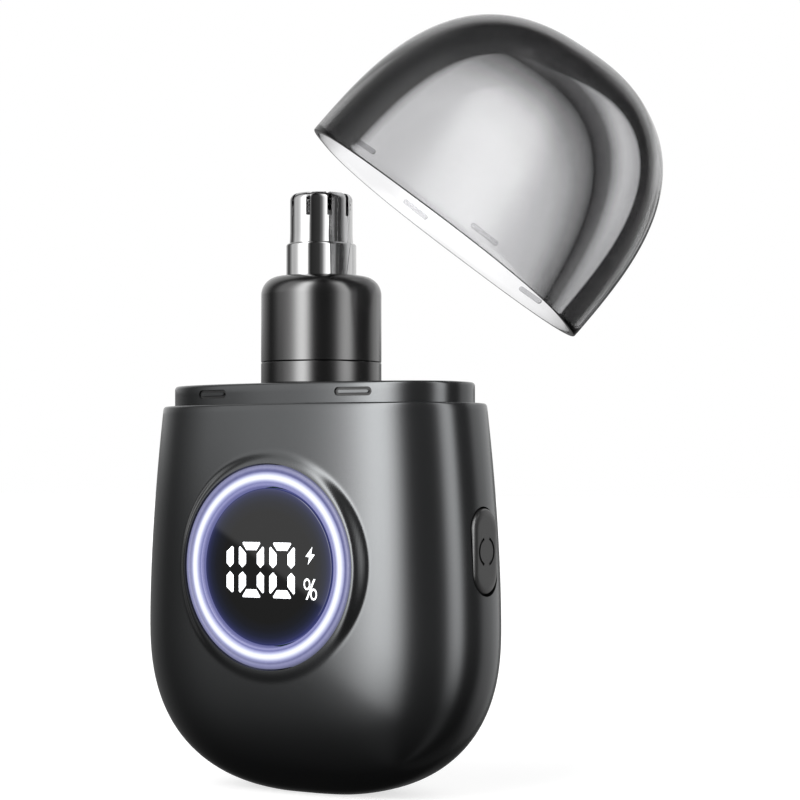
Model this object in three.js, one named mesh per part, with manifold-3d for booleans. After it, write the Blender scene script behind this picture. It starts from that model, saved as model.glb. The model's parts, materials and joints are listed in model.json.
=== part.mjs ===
// Pocket nose hair trimmer: a flattened egg-shaped housing with a round charge display, a side button, a
// rotary cutter head on a short neck, and a smoked dome cap that is off the collar and tipped to one side.
// Millimetres, +Z up, -Y is the display side, +X is the button side.
// The origin is the centre of the flat base.
import * as THREE from "three";
import { mergeVertices } from "three/addons/utils/BufferGeometryUtils.js";
import Module from "manifold-3d";

const wasm = await Module();
wasm.setup();

// ---------------------------------------------------------------- driving dimensions
// Housing
const HALF_WIDTH = 23.6;
const HALF_DEPTH = 11.1;
const SECTION_POWER = 2.6; // roundness of the level sections: 2 is an ellipse, more is squarer
const BELLY_Z = 20.4; // widest level
const SHOULDER_Z = 46.4; // top rim of the housing
const SHOULDER_NARROWING = 0.077;
const SHOULDER_POWER = 1.75;
const BOTTOM_POWER = 2.5;
const BASE_CUT = 0.3; // how far the flat base cuts into the rounded bottom
const WALL = 1.22;
const FLOOR = 1.6;

// Collar and deck
const COLLAR_INSET = 1.34; // from the housing's outer face to the collar's
const COLLAR_HEIGHT = 2.5;
const DECK_TOP_Z = SHOULDER_Z + COLLAR_HEIGHT;
const DECK_PLATE = 1.5;
const DECK_SKIRT = 4.2; // depth of the skirt inside the housing
const CATCH_X = 10.3; // a pair of catches on the front, a pair on the back
const CATCH_LENGTH = 4.8;
const CATCH_HEIGHT = 1.05;
const CATCH_LEVEL = 1.3; // above the shoulder
const CATCH_DEPTH = 0.45;

// Cap
const CAP_HEIGHT = 28.2;
const CAP_SIDE_POWER = 3;
const CAP_CROWN_POWER = 2.45;
const CAP_RIM_WALL = 0.9;
const CAP_WALL = 1.3;
const CAP_TOP_WALL = 1.1;
const CAP_RIB = 0.22; // height of the snap ribs inside the rim

// Cap swing: the cap turns about a level line beside the housing, from its seat to where it is held off.
const SWING_HEADING = 33.4; // degrees from +X towards +Y, the way the cap leans
const SWING_REACH = 35.3; // from the neck's axis to the line, along the heading
const SWING_DROP = 8.6; // the line's depth below the shoulder
const SWING_OFFSET = 1.6; // the line's middle, sideways from the heading
const SWING_ROLL = 7; // degrees that the line rises
const SWING_ANGLE = 41; // degrees, from the seat to where the cap is held

// Neck and cutter
const NECK_RADIUS = 7.3;
const NECK_SEAM_Z = SHOULDER_Z + 5.2;
const NECK_TOP_Z = SHOULDER_Z + 15.6;
const NECK_CORNER = 2.25;
const SEAM_GAP = 0.16;
const RING_RADIUS = 4.25;
const RING_TOP_Z = NECK_TOP_Z + 4.0;
const TIP_RADIUS = 3.8;
const TIP_TOP_Z = NECK_TOP_Z + 10.1;
const TIP_CORNER = 0.85;
const GUARD_WALL = 0.42;
const SLOT_COUNT = 9;
const SLOT_WIDTH = 0.55;
const SLOT_DEPTH = 2.9;
const SLOT_INNER_RADIUS = 1.5;

// Display
const DISPLAY_Z = 27.2;
const DISPLAY_FRONT = 11.2; // distance of the lit ring's face in front of the neck's axis
const BOSS_RADIUS = 12.8;
const BOSS_FOOT_RADIUS = 15.0;
const HALO_OUTER = 12.0;
const HALO_INNER = 9.35;
const LENS_RADIUS = 9.25;

// Button
const BUTTON_Z = 29.1;
const BUTTON_LENGTH = 10.0;
const BUTTON_WIDTH = 5.0;
const BUTTON_GAP = 0.22;

// Charging port
const PORT_WIDTH = 8.94;
const PORT_HEIGHT = 3.2;
const PORT_Z = 7.2;
const PORT_MOUTH_Y = 9.0; // the port opens in the back, low down
const PORT_DEPTH = 6.8;

const ROUND = 40; // sides of a visible turned piece
const SMALL_ROUND = 20; // sides of a small inner one
const OUTLINE = 48; // points round a level section

// ---------------------------------------------------------------- materials
function paint(color, roughness, metalness, opacity = 1) {
  return new THREE.MeshStandardMaterial({
    color,
    roughness,
    metalness,
    opacity,
    transparent: opacity < 1,
  });
}

const MATERIALS = {
  gunmetal: paint(0x3a3c3e, 0.38, 0.35),
  smoked: paint(0x4a4a4c, 0.08, 0.0, 0.35),
  chrome: paint(0xc8cacc, 0.12, 1.0),
  steel: paint(0x9a9c9e, 0.3, 1.0),
  blackPlastic: paint(0x17181a, 0.5, 0.0),
  whitePlastic: paint(0xe6e6e2, 0.5, 0.0),
  lens: paint(0x05060a, 0.06, 0.0),
  halo: paint(0xdfe0ff, 0.3, 0.0),
  rubber: paint(0x202022, 0.8, 0.0),
  board: paint(0x14402a, 0.5, 0.1),
  wrap: paint(0x2456a0, 0.35, 0.0),
  brass: paint(0xc8a24a, 0.3, 1.0),
  red: paint(0xb02018, 0.5, 0.0),
  black: paint(0x101010, 0.5, 0.0),
};

// ---------------------------------------------------------------- geometry helpers
// A closed three.js geometry as a solid that can be joined and cut.
function solid(geometry) {
  const bare = geometry.clone();
  bare.deleteAttribute("normal");
  bare.deleteAttribute("uv");
  const merged = mergeVertices(bare, 1e-4);
  const index = Array.from(merged.index.array);
  const faces = [];
  for (let i = 0; i < index.length; i += 3) {
    const [a, b, c] = index.slice(i, i + 3);
    if (a !== b && b !== c && c !== a) faces.push(a, b, c);
  }
  const made = (triVerts) =>
    new wasm.Manifold(
      new wasm.Mesh({
        numProp: 3,
        vertProperties: merged.attributes.position.array,
        triVerts: Uint32Array.from(triVerts),
      }),
    );
  const first = made(faces);
  return first.volume() > 0 ? first : made(faces.slice().reverse());
}

function geometryOf(shape) {
  const mesh = shape.getMesh();
  const positions = new Float32Array(mesh.numVert * 3);
  for (let i = 0; i < mesh.numVert; i++) {
    const start = i * mesh.numProp;
    positions.set(mesh.vertProperties.subarray(start, start + 3), i * 3);
  }
  const geometry = new THREE.BufferGeometry();
  geometry.setAttribute("position", new THREE.BufferAttribute(positions, 3));
  geometry.setIndex(new THREE.BufferAttribute(mesh.triVerts, 1));
  geometry.computeVertexNormals();
  return geometry;
}

function join(...shapes) {
  return shapes.reduce((whole, shape) => whole.add(shape));
}

function cut(shape, ...tools) {
  return tools.reduce((left, tool) => left.subtract(tool), shape);
}

// A box centred on (x, y, z).
function block(width, depth, height, x, y, z) {
  return solid(new THREE.BoxGeometry(width, depth, height).translate(x, y, z));
}

// A solid of revolution about Z. Its profile is a list of [radius, height].
function turned(profile, sides = ROUND) {
  const points = profile.map(([r, z]) => new THREE.Vector2(r, z));
  return solid(new THREE.LatheGeometry(points, sides).rotateX(Math.PI / 2));
}

// A plain upright cylinder from z0 to z1.
function rod(radius, z0, z1, sides = SMALL_ROUND) {
  return turned([[0, z0], [radius, z0], [radius, z1], [0, z1]], sides);
}

// An upright tube from z0 to z1.
function sleeve(outer, inner, z0, z1, sides = ROUND) {
  const profile = [[inner, z0], [outer, z0], [outer, z1], [inner, z1], [inner, z0]];
  return turned(profile, sides);
}

// A solid turned about the display's axis.
// Its profile is a list of [radius, distance in front of the neck's axis].
function faced(profile, sides = ROUND) {
  const points = profile.map(([r, front]) => new THREE.Vector2(r, front));
  const geometry = new THREE.LatheGeometry(points, sides).rotateX(Math.PI);
  return solid(geometry.translate(0, 0, DISPLAY_Z));
}

// Points of an arc from angle a to angle b, in degrees, about (r, z).
function arc(r, z, radius, a, b, steps = 5) {
  return Array.from({ length: steps + 1 }, (_, i) => {
    const t = THREE.MathUtils.degToRad(a + ((b - a) * i) / steps);
    return [r + radius * Math.cos(t), z + radius * Math.sin(t)];
  });
}

// A rounded outline: a stadium when both sizes differ, a circle when they don't.
function stadium(length, height, steps = 6) {
  const r = height / 2;
  const half = length / 2 - r;
  const ends = [...arc(half, 0, r, -90, 90, steps), ...arc(-half, 0, r, 90, 270, steps)];
  return new THREE.Shape(ends.map(([x, y]) => new THREE.Vector2(x, y)));
}

function raised(shape, depth) {
  return new THREE.ExtrudeGeometry(shape, { depth, bevelEnabled: false, curveSegments: 6 });
}

// One level section: a superellipse with half-axes a and b at height z.
function section(a, b, z) {
  return Array.from({ length: OUTLINE }, (_, i) => {
    const t = (i / OUTLINE) * 2 * Math.PI;
    const round = (v) => Math.sign(v) * Math.abs(v) ** (2 / SECTION_POWER);
    return new THREE.Vector3(a * round(Math.cos(t)), b * round(Math.sin(t)), z);
  });
}

// A closed solid through level sections, lowest first.
function loft(sections) {
  const positions = sections.flat().flatMap((p) => [p.x, p.y, p.z]);
  const faces = [];
  for (let row = 0; row + 1 < sections.length; row++) {
    for (let i = 0; i < OUTLINE; i++) {
      const [a, b] = [row * OUTLINE + i, row * OUTLINE + ((i + 1) % OUTLINE)];
      faces.push(a, b, b + OUTLINE, a, b + OUTLINE, a + OUTLINE);
    }
  }
  const last = (sections.length - 1) * OUTLINE;
  for (let i = 1; i + 1 < OUTLINE; i++) {
    faces.push(0, i + 1, i);
    faces.push(last, last + i, last + i + 1);
  }
  const geometry = new THREE.BufferGeometry();
  geometry.setAttribute("position", new THREE.Float32BufferAttribute(positions, 3));
  geometry.setIndex(faces);
  return solid(geometry);
}

// A straight-sided solid with a superellipse outline.
function slab(a, b, z0, z1) {
  return loft([section(a, b, z0), section(a, b, z1)]);
}

// A round wire or lead through a list of points.
function wire(points, radius, steps = 16, sides = 8) {
  const path = new THREE.CatmullRomCurve3(points.map((p) => new THREE.Vector3(...p)));
  const round = new THREE.Shape(
    arc(0, 0, radius, 0, 360 - 360 / sides, sides - 1).map(([x, y]) => new THREE.Vector2(x, y)),
  );
  return solid(new THREE.ExtrudeGeometry(round, { steps, extrudePath: path, bevelEnabled: false }));
}

// ---------------------------------------------------------------- the housing's form
// Share of the full width at height z, with the flat base a given depth above the form's lowest point.
function bodyScale(z, depth = BELLY_Z + BASE_CUT) {
  if (z >= BELLY_Z) {
    const t = (z - BELLY_Z) / (SHOULDER_Z - BELLY_Z);
    return 1 - SHOULDER_NARROWING * t ** SHOULDER_POWER;
  }
  const t = (BELLY_Z - z) / depth;
  return Math.max(0, 1 - t ** BOTTOM_POWER) ** (1 / BOTTOM_POWER);
}

// Levels that crowd towards the bottom, where the form turns fastest.
function levels(bottom, top, below = 9, above = 6) {
  const low = Array.from({ length: below }, (_, i) => {
    const t = Math.sin(((i / below) * Math.PI) / 2) ** 1.6;
    return bottom + (BELLY_Z - bottom) * t;
  });
  const high = Array.from({ length: above + 1 }, (_, i) => BELLY_Z + ((top - BELLY_Z) * i) / above);
  return [...low, ...high];
}

function housingForm() {
  return loft(
    levels(0, SHOULDER_Z).map((z) => {
      const s = bodyScale(z);
      return section(HALF_WIDTH * s, HALF_DEPTH * s, z);
    }),
  );
}

function housingHollow() {
  const lowest = FLOOR + 0.05; // just above the point where the hollow closes
  return loft(
    levels(lowest, SHOULDER_Z + 1).map((z) => {
      const s = bodyScale(Math.min(z, SHOULDER_Z), BELLY_Z - FLOOR);
      const [a, b] = [HALF_WIDTH * (z > BELLY_Z ? s : 1), HALF_DEPTH * (z > BELLY_Z ? s : 1)];
      const shrink = z > BELLY_Z ? 1 : s;
      return section((a - WALL) * shrink, (b - WALL) * shrink, z);
    }),
  );
}

const SHOULDER_A = HALF_WIDTH * bodyScale(SHOULDER_Z);
const SHOULDER_B = HALF_DEPTH * bodyScale(SHOULDER_Z);
const COLLAR_A = SHOULDER_A - COLLAR_INSET;
const COLLAR_B = SHOULDER_B - COLLAR_INSET;
const COLLAR_FACE = COLLAR_B * (1 - (CATCH_X / COLLAR_A) ** SECTION_POWER) ** (1 / SECTION_POWER);
const COLLAR_SLOPE = Math.atan(
  (COLLAR_B / COLLAR_A) * ((CATCH_X / COLLAR_A) / (COLLAR_FACE / COLLAR_B)) ** (SECTION_POWER - 1),
);

// The four places of the collar's catches and of the ribs in the cap that snap to them.
const CATCH_PLACES = [[1, 1], [1, -1], [-1, 1], [-1, -1]];

// A stadium bar lying on the collar's face at one catch,
// from `inner` to `outer` millimetres outside that face.
function catchBar([sideX, sideY], length, height, inner, outer, z) {
  const bar = raised(stadium(length, height), outer - inner)
    .translate(0, 0, inner)
    .rotateX(sideY > 0 ? -Math.PI / 2 : Math.PI / 2)
    .rotateZ(-sideX * sideY * COLLAR_SLOPE)
    .translate(sideX * CATCH_X, sideY * COLLAR_FACE, z);
  return solid(bar);
}

// ---------------------------------------------------------------- pieces: housing
const SEAL_Z = SHOULDER_Z - 2.0;
const SEAL_BULGE = 0.02;
const MOTOR_SCREW_X = 4.25;
const FACE_BEHIND = 3.0; // how far the display's parts reach behind its face

function outerHousing() {
  const boss = faced([
    [0, HALF_DEPTH - 3],
    [BOSS_FOOT_RADIUS + 0.8, HALF_DEPTH - 3],
    [BOSS_FOOT_RADIUS - 0.6, HALF_DEPTH - 1.2],
    [BOSS_RADIUS + 0.9, DISPLAY_FRONT - 0.55],
    [BOSS_RADIUS + 0.25, DISPLAY_FRONT - 0.08],
    [BOSS_RADIUS - 0.3, DISPLAY_FRONT],
    [0, DISPLAY_FRONT],
  ]);
  const displayBore = faced([
    [0, 0],
    [HALO_OUTER + 0.15, 0],
    [HALO_OUTER + 0.15, DISPLAY_FRONT + 1],
    [0, DISPLAY_FRONT + 1],
  ]);
  const buttonBore = solid(
    raised(stadium(BUTTON_LENGTH + 2 * BUTTON_GAP, BUTTON_WIDTH + 2 * BUTTON_GAP), 12)
      .rotateZ(Math.PI / 2)
      .rotateY(Math.PI / 2)
      .rotateX(Math.PI / 2)
      .translate(HALF_WIDTH - 6, 0, BUTTON_Z),
  );
  const portMouth = backPill(PORT_WIDTH + 0.4, PORT_HEIGHT + 0.4, PORT_MOUTH_Y - 4, HALF_DEPTH);
  const form = join(housingForm(), boss);
  return cut(form, housingHollow(), displayBore, buttonBore, portMouth);
}

// The deck closes the housing, carries the motor and ends in the collar that the cap snaps over.
function topDeck() {
  const round = 0.35;
  const body = loft([
    section(COLLAR_A - 0.1, COLLAR_B - 0.1, SHOULDER_Z - DECK_SKIRT),
    section(COLLAR_A, COLLAR_B, SHOULDER_Z - DECK_SKIRT + 0.1),
    section(COLLAR_A, COLLAR_B, DECK_TOP_Z - round),
    section(COLLAR_A - round * 0.3, COLLAR_B - round * 0.3, DECK_TOP_Z - round * 0.3),
    section(COLLAR_A - round, COLLAR_B - round, DECK_TOP_Z),
  ]);
  const wall = 1.4;
  const hollow = slab(COLLAR_A - wall, COLLAR_B - wall, 0, DECK_TOP_Z - DECK_PLATE);
  const groove = cut(
    slab(COLLAR_A + 2, COLLAR_B + 2, SEAL_Z - 0.55, SEAL_Z + 0.55),
    slab(COLLAR_A - 0.75, COLLAR_B - 0.75, 0, DECK_TOP_Z),
  );
  const shaftHole = rod(2.6, DECK_TOP_Z - 3, DECK_TOP_Z + 1);
  const screwHoles = [-1, 1].map((side) =>
    solid(new THREE.CylinderGeometry(0.95, 0.95, 6, 16).rotateX(Math.PI / 2).translate(0, 0, DECK_TOP_Z))
      .translate([side * MOTOR_SCREW_X, 0, 0]),
  );
  const recesses = CATCH_PLACES.map((place) =>
    catchBar(place, CATCH_LENGTH, CATCH_HEIGHT, -CATCH_DEPTH, 1, SHOULDER_Z + CATCH_LEVEL),
  );
  const bars = CATCH_PLACES.map((place) =>
    catchBar(place, CATCH_LENGTH - 0.7, CATCH_HEIGHT - 0.5, -1, -0.16, SHOULDER_Z + CATCH_LEVEL),
  );
  return join(cut(body, hollow, groove, shaftHole, ...screwHoles, ...recesses), ...bars);
}

// The seal fills the groove round the deck's skirt.
function deckSeal() {
  return cut(
    slab(COLLAR_A + SEAL_BULGE, COLLAR_B + SEAL_BULGE, SEAL_Z - 0.45, SEAL_Z + 0.45),
    slab(COLLAR_A - 0.7, COLLAR_B - 0.7, 0, DECK_TOP_Z),
  );
}
// ---------------------------------------------------------------- pieces: neck and cutter
const SPIGOT_RADIUS = 4.9;
const SPIGOT_HEIGHT = 2.8;
const COVER_BORE = 5.9;
const COVER_FLOOR_Z = NECK_TOP_Z - 2.4;

// Two lugs on opposite sides of the neck's axis, part of a ring.
function lugs(inner, outer, z0, z1) {
  return sleeve(outer, inner, z0, z1, 28).intersect(block(4, 20, 10, 0, 0, (z0 + z1) / 2));
}

// The cover and the cutter come off the neck's base with a short turn, to be rinsed.
function neckCover() {
  const shell = turned([
    [COVER_BORE, NECK_SEAM_Z],
    [NECK_RADIUS - 0.15, NECK_SEAM_Z],
    [NECK_RADIUS, NECK_SEAM_Z + 0.15],
    ...arc(NECK_RADIUS - NECK_CORNER, NECK_TOP_Z - NECK_CORNER, NECK_CORNER, 0, 90),
    [RING_RADIUS + 0.15, NECK_TOP_Z],
    [RING_RADIUS + 0.15, NECK_TOP_Z - 1.2],
    [2.6, NECK_TOP_Z - 1.2],
    [2.6, COVER_FLOOR_Z],
    [COVER_BORE - 1, COVER_FLOOR_Z],
    [COVER_BORE, COVER_FLOOR_Z - 1],
    [COVER_BORE, NECK_SEAM_Z],
  ]);
  const lugTop = NECK_SEAM_Z + 1.2;
  return join(shell, lugs(SPIGOT_RADIUS + 0.15, COVER_BORE + 0.3, NECK_SEAM_Z + 0.2, lugTop));
}

function neckBase() {
  const base = turned([
    [2.9, DECK_TOP_Z + 0.05],
    [NECK_RADIUS, DECK_TOP_Z + 0.05],
    [NECK_RADIUS, NECK_SEAM_Z - SEAM_GAP - 0.15],
    [NECK_RADIUS - 0.15, NECK_SEAM_Z - SEAM_GAP],
    [SPIGOT_RADIUS, NECK_SEAM_Z - SEAM_GAP],
    [SPIGOT_RADIUS, NECK_SEAM_Z + SPIGOT_HEIGHT],
    [2.9, NECK_SEAM_Z + SPIGOT_HEIGHT],
    [2.9, DECK_TOP_Z + 0.05],
  ]);
  const lugTop = NECK_SEAM_Z + SPIGOT_HEIGHT;
  return join(base, lugs(SPIGOT_RADIUS - 0.3, COVER_BORE - 0.25, lugTop - 1.2, lugTop));
}

function outerCutter() {
  const foot = NECK_TOP_Z - 1.1;
  const guard = turned([
    [RING_RADIUS - GUARD_WALL - 0.6, foot],
    [RING_RADIUS, foot],
    [RING_RADIUS, RING_TOP_Z - 0.3],
    [RING_RADIUS - 0.3, RING_TOP_Z],
    [TIP_RADIUS, RING_TOP_Z + 0.12],
    ...arc(TIP_RADIUS - TIP_CORNER, TIP_TOP_Z - TIP_CORNER, TIP_CORNER, 0, 90),
    [0, TIP_TOP_Z],
    [0, TIP_TOP_Z - GUARD_WALL],
    ...arc(TIP_RADIUS - TIP_CORNER, TIP_TOP_Z - TIP_CORNER, TIP_CORNER - GUARD_WALL, 90, 0),
    [TIP_RADIUS - GUARD_WALL, RING_TOP_Z - 0.6],
    [RING_RADIUS - GUARD_WALL - 0.6, foot],
  ]);
  const slots = Array.from({ length: SLOT_COUNT }, (_, i) =>
    solid(
      new THREE.BoxGeometry(TIP_RADIUS, SLOT_WIDTH, SLOT_DEPTH + 1)
        .translate(SLOT_INNER_RADIUS + TIP_RADIUS / 2, 0, TIP_TOP_Z - SLOT_DEPTH + (SLOT_DEPTH + 1) / 2)
        .rotateZ((i / SLOT_COUNT) * 2 * Math.PI),
    ),
  );
  return cut(guard, ...slots);
}

// The rotor: a hub on the motor's shaft that carries two blades just inside the guard.
const BLADE_TOP_Z = TIP_TOP_Z - GUARD_WALL - 0.3;
const HUB_RADIUS = 1.5;
const HUB_BOTTOM_Z = DECK_TOP_Z + 1.2;
const HUB_TOP_Z = BLADE_TOP_Z - 4.6;
const SHAFT_RADIUS = 0.5;

function bladeHub() {
  return cut(
    join(
      rod(HUB_RADIUS, HUB_BOTTOM_Z, HUB_TOP_Z - 1.2),
      rod(HUB_RADIUS + 0.5, HUB_BOTTOM_Z + 7, HUB_BOTTOM_Z + 7.8),
    ),
    rod(SHAFT_RADIUS + 0.12, HUB_BOTTOM_Z - 1, HUB_BOTTOM_Z + 3),
  );
}

function innerBlade() {
  const width = 2 * (TIP_RADIUS - GUARD_WALL - 0.3);
  const plate = block(width, 0.7, BLADE_TOP_Z - HUB_TOP_Z, 0, 0, (BLADE_TOP_Z + HUB_TOP_Z) / 2);
  const notch = block(width - 2.2, 2, 1.7, 0, 0, BLADE_TOP_Z - 0.5);
  const tang = block(2, 0.7, 1.1, 0, 0, HUB_TOP_Z - 0.5);
  return join(cut(plate, notch), tang);
}

function bladeSpring() {
  const turns = 5;
  const radius = HUB_RADIUS + 0.45;
  const [from, to] = [HUB_BOTTOM_Z + 1.6, HUB_BOTTOM_Z + 6.4];
  const steps = turns * 14;
  const points = Array.from({ length: steps + 1 }, (_, i) => {
    const t = (i / steps) * turns * 2 * Math.PI;
    return [radius * Math.cos(t), radius * Math.sin(t), from + ((to - from) * i) / steps];
  });
  return wire(points, 0.18, steps, 6);
}

// ---------------------------------------------------------------- pieces: motor
const MOTOR_RADIUS = 6.0;
const MOTOR_HEIGHT = 13.5;
const MOTOR_TOP_Z = DECK_TOP_Z - DECK_PLATE - 0.1;
const MOTOR_BOTTOM_Z = MOTOR_TOP_Z - MOTOR_HEIGHT;
const MOTOR_BOSS_RADIUS = 2.2;

function motorCan() {
  const can = rod(MOTOR_RADIUS, MOTOR_BOTTOM_Z, MOTOR_TOP_Z, 32);
  const boss = rod(MOTOR_BOSS_RADIUS, MOTOR_TOP_Z - 0.1, MOTOR_TOP_Z + 1);
  const shaftHole = rod(SHAFT_RADIUS + 0.25, MOTOR_TOP_Z - 5, MOTOR_TOP_Z + 2);
  const screwHoles = [-1, 1].map((side) =>
    rod(0.5, MOTOR_TOP_Z - 3, MOTOR_TOP_Z + 1, 12).translate([side * MOTOR_SCREW_X, 0, 0]),
  );
  return cut(join(can, boss), shaftHole, ...screwHoles);
}

function motorEndCap() {
  const bottom = MOTOR_BOTTOM_Z - 1.7;
  const terminals = [-1, 1].map((side) =>
    block(0.5, 1.6, 1.6, side * 3.6, 0, bottom - 0.7),
  );
  const plate = rod(MOTOR_RADIUS - 0.5, bottom, MOTOR_BOTTOM_Z - 0.1, 32);
  const bearing = rod(1.8, bottom - 0.6, bottom + 0.1);
  return join(plate, bearing, ...terminals);
}

function motorScrew(side) {
  const head = rod(0.85, DECK_TOP_Z - 0.62, DECK_TOP_Z - 0.05, 16);
  const slot = block(1.2, 0.28, 0.5, 0, 0, DECK_TOP_Z - 0.05);
  const shank = rod(0.4, DECK_TOP_Z - 3.4, DECK_TOP_Z - 0.5, 12);
  return cut(join(head, shank), slot).translate([side * MOTOR_SCREW_X, 0, 0]);
}

// ---------------------------------------------------------------- pieces: cap
function capForm(inset, bottom, height, crown) {
  const share = (t) => Math.max(0, 1 - t ** CAP_SIDE_POWER) ** (1 / crown);
  const steps = 15;
  const sections = [];
  if (bottom < 0) sections.push(section(SHOULDER_A - inset, SHOULDER_B - inset, bottom));
  for (let i = 0; i < steps; i++) {
    const t = Math.sin(((i / steps) * Math.PI) / 2) ** 0.9;
    sections.push(section((SHOULDER_A - inset) * share(t), (SHOULDER_B - inset) * share(t), height * t));
  }
  return loft(sections).translate([0, 0, 0]);
}

// The cap in its seat, its rim on the shoulder. The lower wall is thinner, where it passes the collar.
function seatedCap() {
  const gap = 0.1;
  const shell = capForm(0, 0, CAP_HEIGHT, CAP_CROWN_POWER);
  const hollow = capForm(CAP_WALL, -1, CAP_HEIGHT - CAP_TOP_WALL, CAP_CROWN_POWER);
  const skirt = slab(SHOULDER_A - CAP_RIM_WALL, SHOULDER_B - CAP_RIM_WALL, -1, COLLAR_HEIGHT + 0.5);
  const lifted = cut(shell, hollow, skirt).translate([0, 0, SHOULDER_Z + gap]);
  const ribs = CATCH_PLACES.map((place) =>
    catchBar(place, CATCH_LENGTH - 1.2, CATCH_HEIGHT - 0.4, COLLAR_INSET - CAP_RIM_WALL - CAP_RIB,
      COLLAR_INSET - CAP_RIM_WALL + 0.3, SHOULDER_Z + gap + CATCH_LEVEL),
  );
  return join(lifted, ...ribs);
}

// Puts a seated shape where the cap is held off.
function swungOff(geometry) {
  const heading = THREE.MathUtils.degToRad(SWING_HEADING);
  const along = new THREE.Vector3(Math.cos(heading), Math.sin(heading), 0);
  const level = new THREE.Vector3(-Math.sin(heading), Math.cos(heading), 0);
  const roll = THREE.MathUtils.degToRad(SWING_ROLL);
  const axis = level.clone().multiplyScalar(Math.cos(roll)).setZ(Math.sin(roll));
  const pivot = along.multiplyScalar(SWING_REACH).addScaledVector(level, SWING_OFFSET);
  pivot.z = SHOULDER_Z - SWING_DROP;
  return geometry
    .translate(-pivot.x, -pivot.y, -pivot.z)
    .applyMatrix4(new THREE.Matrix4().makeRotationAxis(axis, THREE.MathUtils.degToRad(SWING_ANGLE)))
    .translate(pivot.x, pivot.y, pivot.z);
}

// ---------------------------------------------------------------- pieces: display
const LENS_FRONT = DISPLAY_FRONT - 0.35;

function haloRing() {
  return faced([
    [HALO_INNER + 0.1, DISPLAY_FRONT - FACE_BEHIND],
    [HALO_OUTER - 0.1, DISPLAY_FRONT - FACE_BEHIND],
    [HALO_OUTER, DISPLAY_FRONT - 0.5],
    [HALO_OUTER - 0.35, DISPLAY_FRONT - 0.12],
    [(HALO_OUTER + HALO_INNER) / 2, DISPLAY_FRONT + 0.05],
    [HALO_INNER + 0.45, DISPLAY_FRONT - 0.12],
    [HALO_INNER + 0.1, DISPLAY_FRONT - 0.5],
    [HALO_INNER + 0.1, DISPLAY_FRONT - FACE_BEHIND],
  ]);
}

function displayLens() {
  return faced([
    [0, LENS_FRONT - 1.0],
    [LENS_RADIUS, LENS_FRONT - 1.0],
    [LENS_RADIUS, LENS_FRONT - 0.15],
    [LENS_RADIUS - 0.15, LENS_FRONT],
    [0, LENS_FRONT],
  ]);
}

function displayPanel() {
  const front = LENS_FRONT - 1.1;
  return block(12, 0.8, 9, 0, -(front - 0.4), DISPLAY_Z);
}

function displayFrame() {
  const back = DISPLAY_FRONT - FACE_BEHIND + 0.15;
  const front = LENS_FRONT - 1.1;
  const [inner, outer] = [HALO_INNER - 1.6, HALO_INNER - 0.15];
  return faced([[inner, back], [outer, back], [outer, front], [inner, front], [inner, back]]);
}

const BOARD_FRONT = DISPLAY_FRONT - FACE_BEHIND - 0.15; // face of the control board, behind the display
const BOARD_THICKNESS = 0.8;

function controlBoard() {
  const radius = HALO_OUTER - 0.3;
  const disc = new THREE.CylinderGeometry(radius, radius, BOARD_THICKNESS, 32);
  return solid(disc.translate(0, -(BOARD_FRONT - BOARD_THICKNESS / 2), DISPLAY_Z));
}

// The board's control chip, on its back.
function controlChip() {
  const y = -(BOARD_FRONT - BOARD_THICKNESS - 0.55);
  return block(4, 0.9, 4, -4, y, DISPLAY_Z - 4);
}

// ---------------------------------------------------------------- pieces: button
const BUTTON_FACE_X = HALF_WIDTH - 0.15;
const SWITCH_X = 18.4;

// A pill standing upright in the side wall, from x0 to x1.
function sidePill(length, width, x0, x1) {
  return solid(
    raised(stadium(length, width), x1 - x0)
      .rotateZ(Math.PI / 2)
      .rotateX(Math.PI / 2)
      .rotateZ(Math.PI / 2)
      .translate(x0, 0, BUTTON_Z),
  );
}

function powerButton() {
  const cap = join(
    sidePill(BUTTON_LENGTH, BUTTON_WIDTH, HALF_WIDTH - 2.0, BUTTON_FACE_X - 0.3),
    sidePill(BUTTON_LENGTH - 0.5, BUTTON_WIDTH - 0.5, BUTTON_FACE_X - 0.4, BUTTON_FACE_X),
  );
  const disc = (radius, depth) => {
    const shape = new THREE.CylinderGeometry(radius, radius, depth, 28).rotateZ(Math.PI / 2);
    return solid(shape.translate(BUTTON_FACE_X + 0.35, 0, BUTTON_Z));
  };
  const gaps = block(2, 1.1, 6, BUTTON_FACE_X, 0, BUTTON_Z);
  const mark = cut(disc(1.9, 1), disc(1.55, 2), gaps);
  const stem = sidePill(3.2, 1.6, SWITCH_X + 1.95, HALF_WIDTH - 1.9);
  return cut(join(cap, stem), mark);
}

function buttonGasket() {
  return cut(
    sidePill(BUTTON_LENGTH + 0.9, BUTTON_WIDTH + 0.9, HALF_WIDTH - 2.9, HALF_WIDTH - 2.55),
    sidePill(3.7, 2.1, HALF_WIDTH - 4, HALF_WIDTH),
  );
}

function switchBody() {
  return cut(
    block(2.6, 4.2, 6, SWITCH_X, 0, BUTTON_Z),
    block(2.2, 1.9, 2.9, SWITCH_X + 0.9, 0, BUTTON_Z),
  );
}

function switchPlunger() {
  return block(1.45, 1.4, 2.4, SWITCH_X + 1.15, 0, BUTTON_Z);
}

function switchBoard() {
  return block(0.8, 6, 12, SWITCH_X - 1.75, 0, BUTTON_Z);
}

// ---------------------------------------------------------------- pieces: power
const CELL_RADIUS = 5.0;
const CELL_LENGTH = 27;
const CELL_Y = 2.6;
const CELL_Z = 15.8;

// A turned piece lying along X at the cell's place. Its profile is a list of [radius, x].
function lying(profile, sides = 28) {
  const points = profile.map(([r, x]) => new THREE.Vector2(r, x));
  return solid(
    new THREE.LatheGeometry(points, sides).rotateZ(-Math.PI / 2).translate(-1, CELL_Y, CELL_Z),
  );
}

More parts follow.
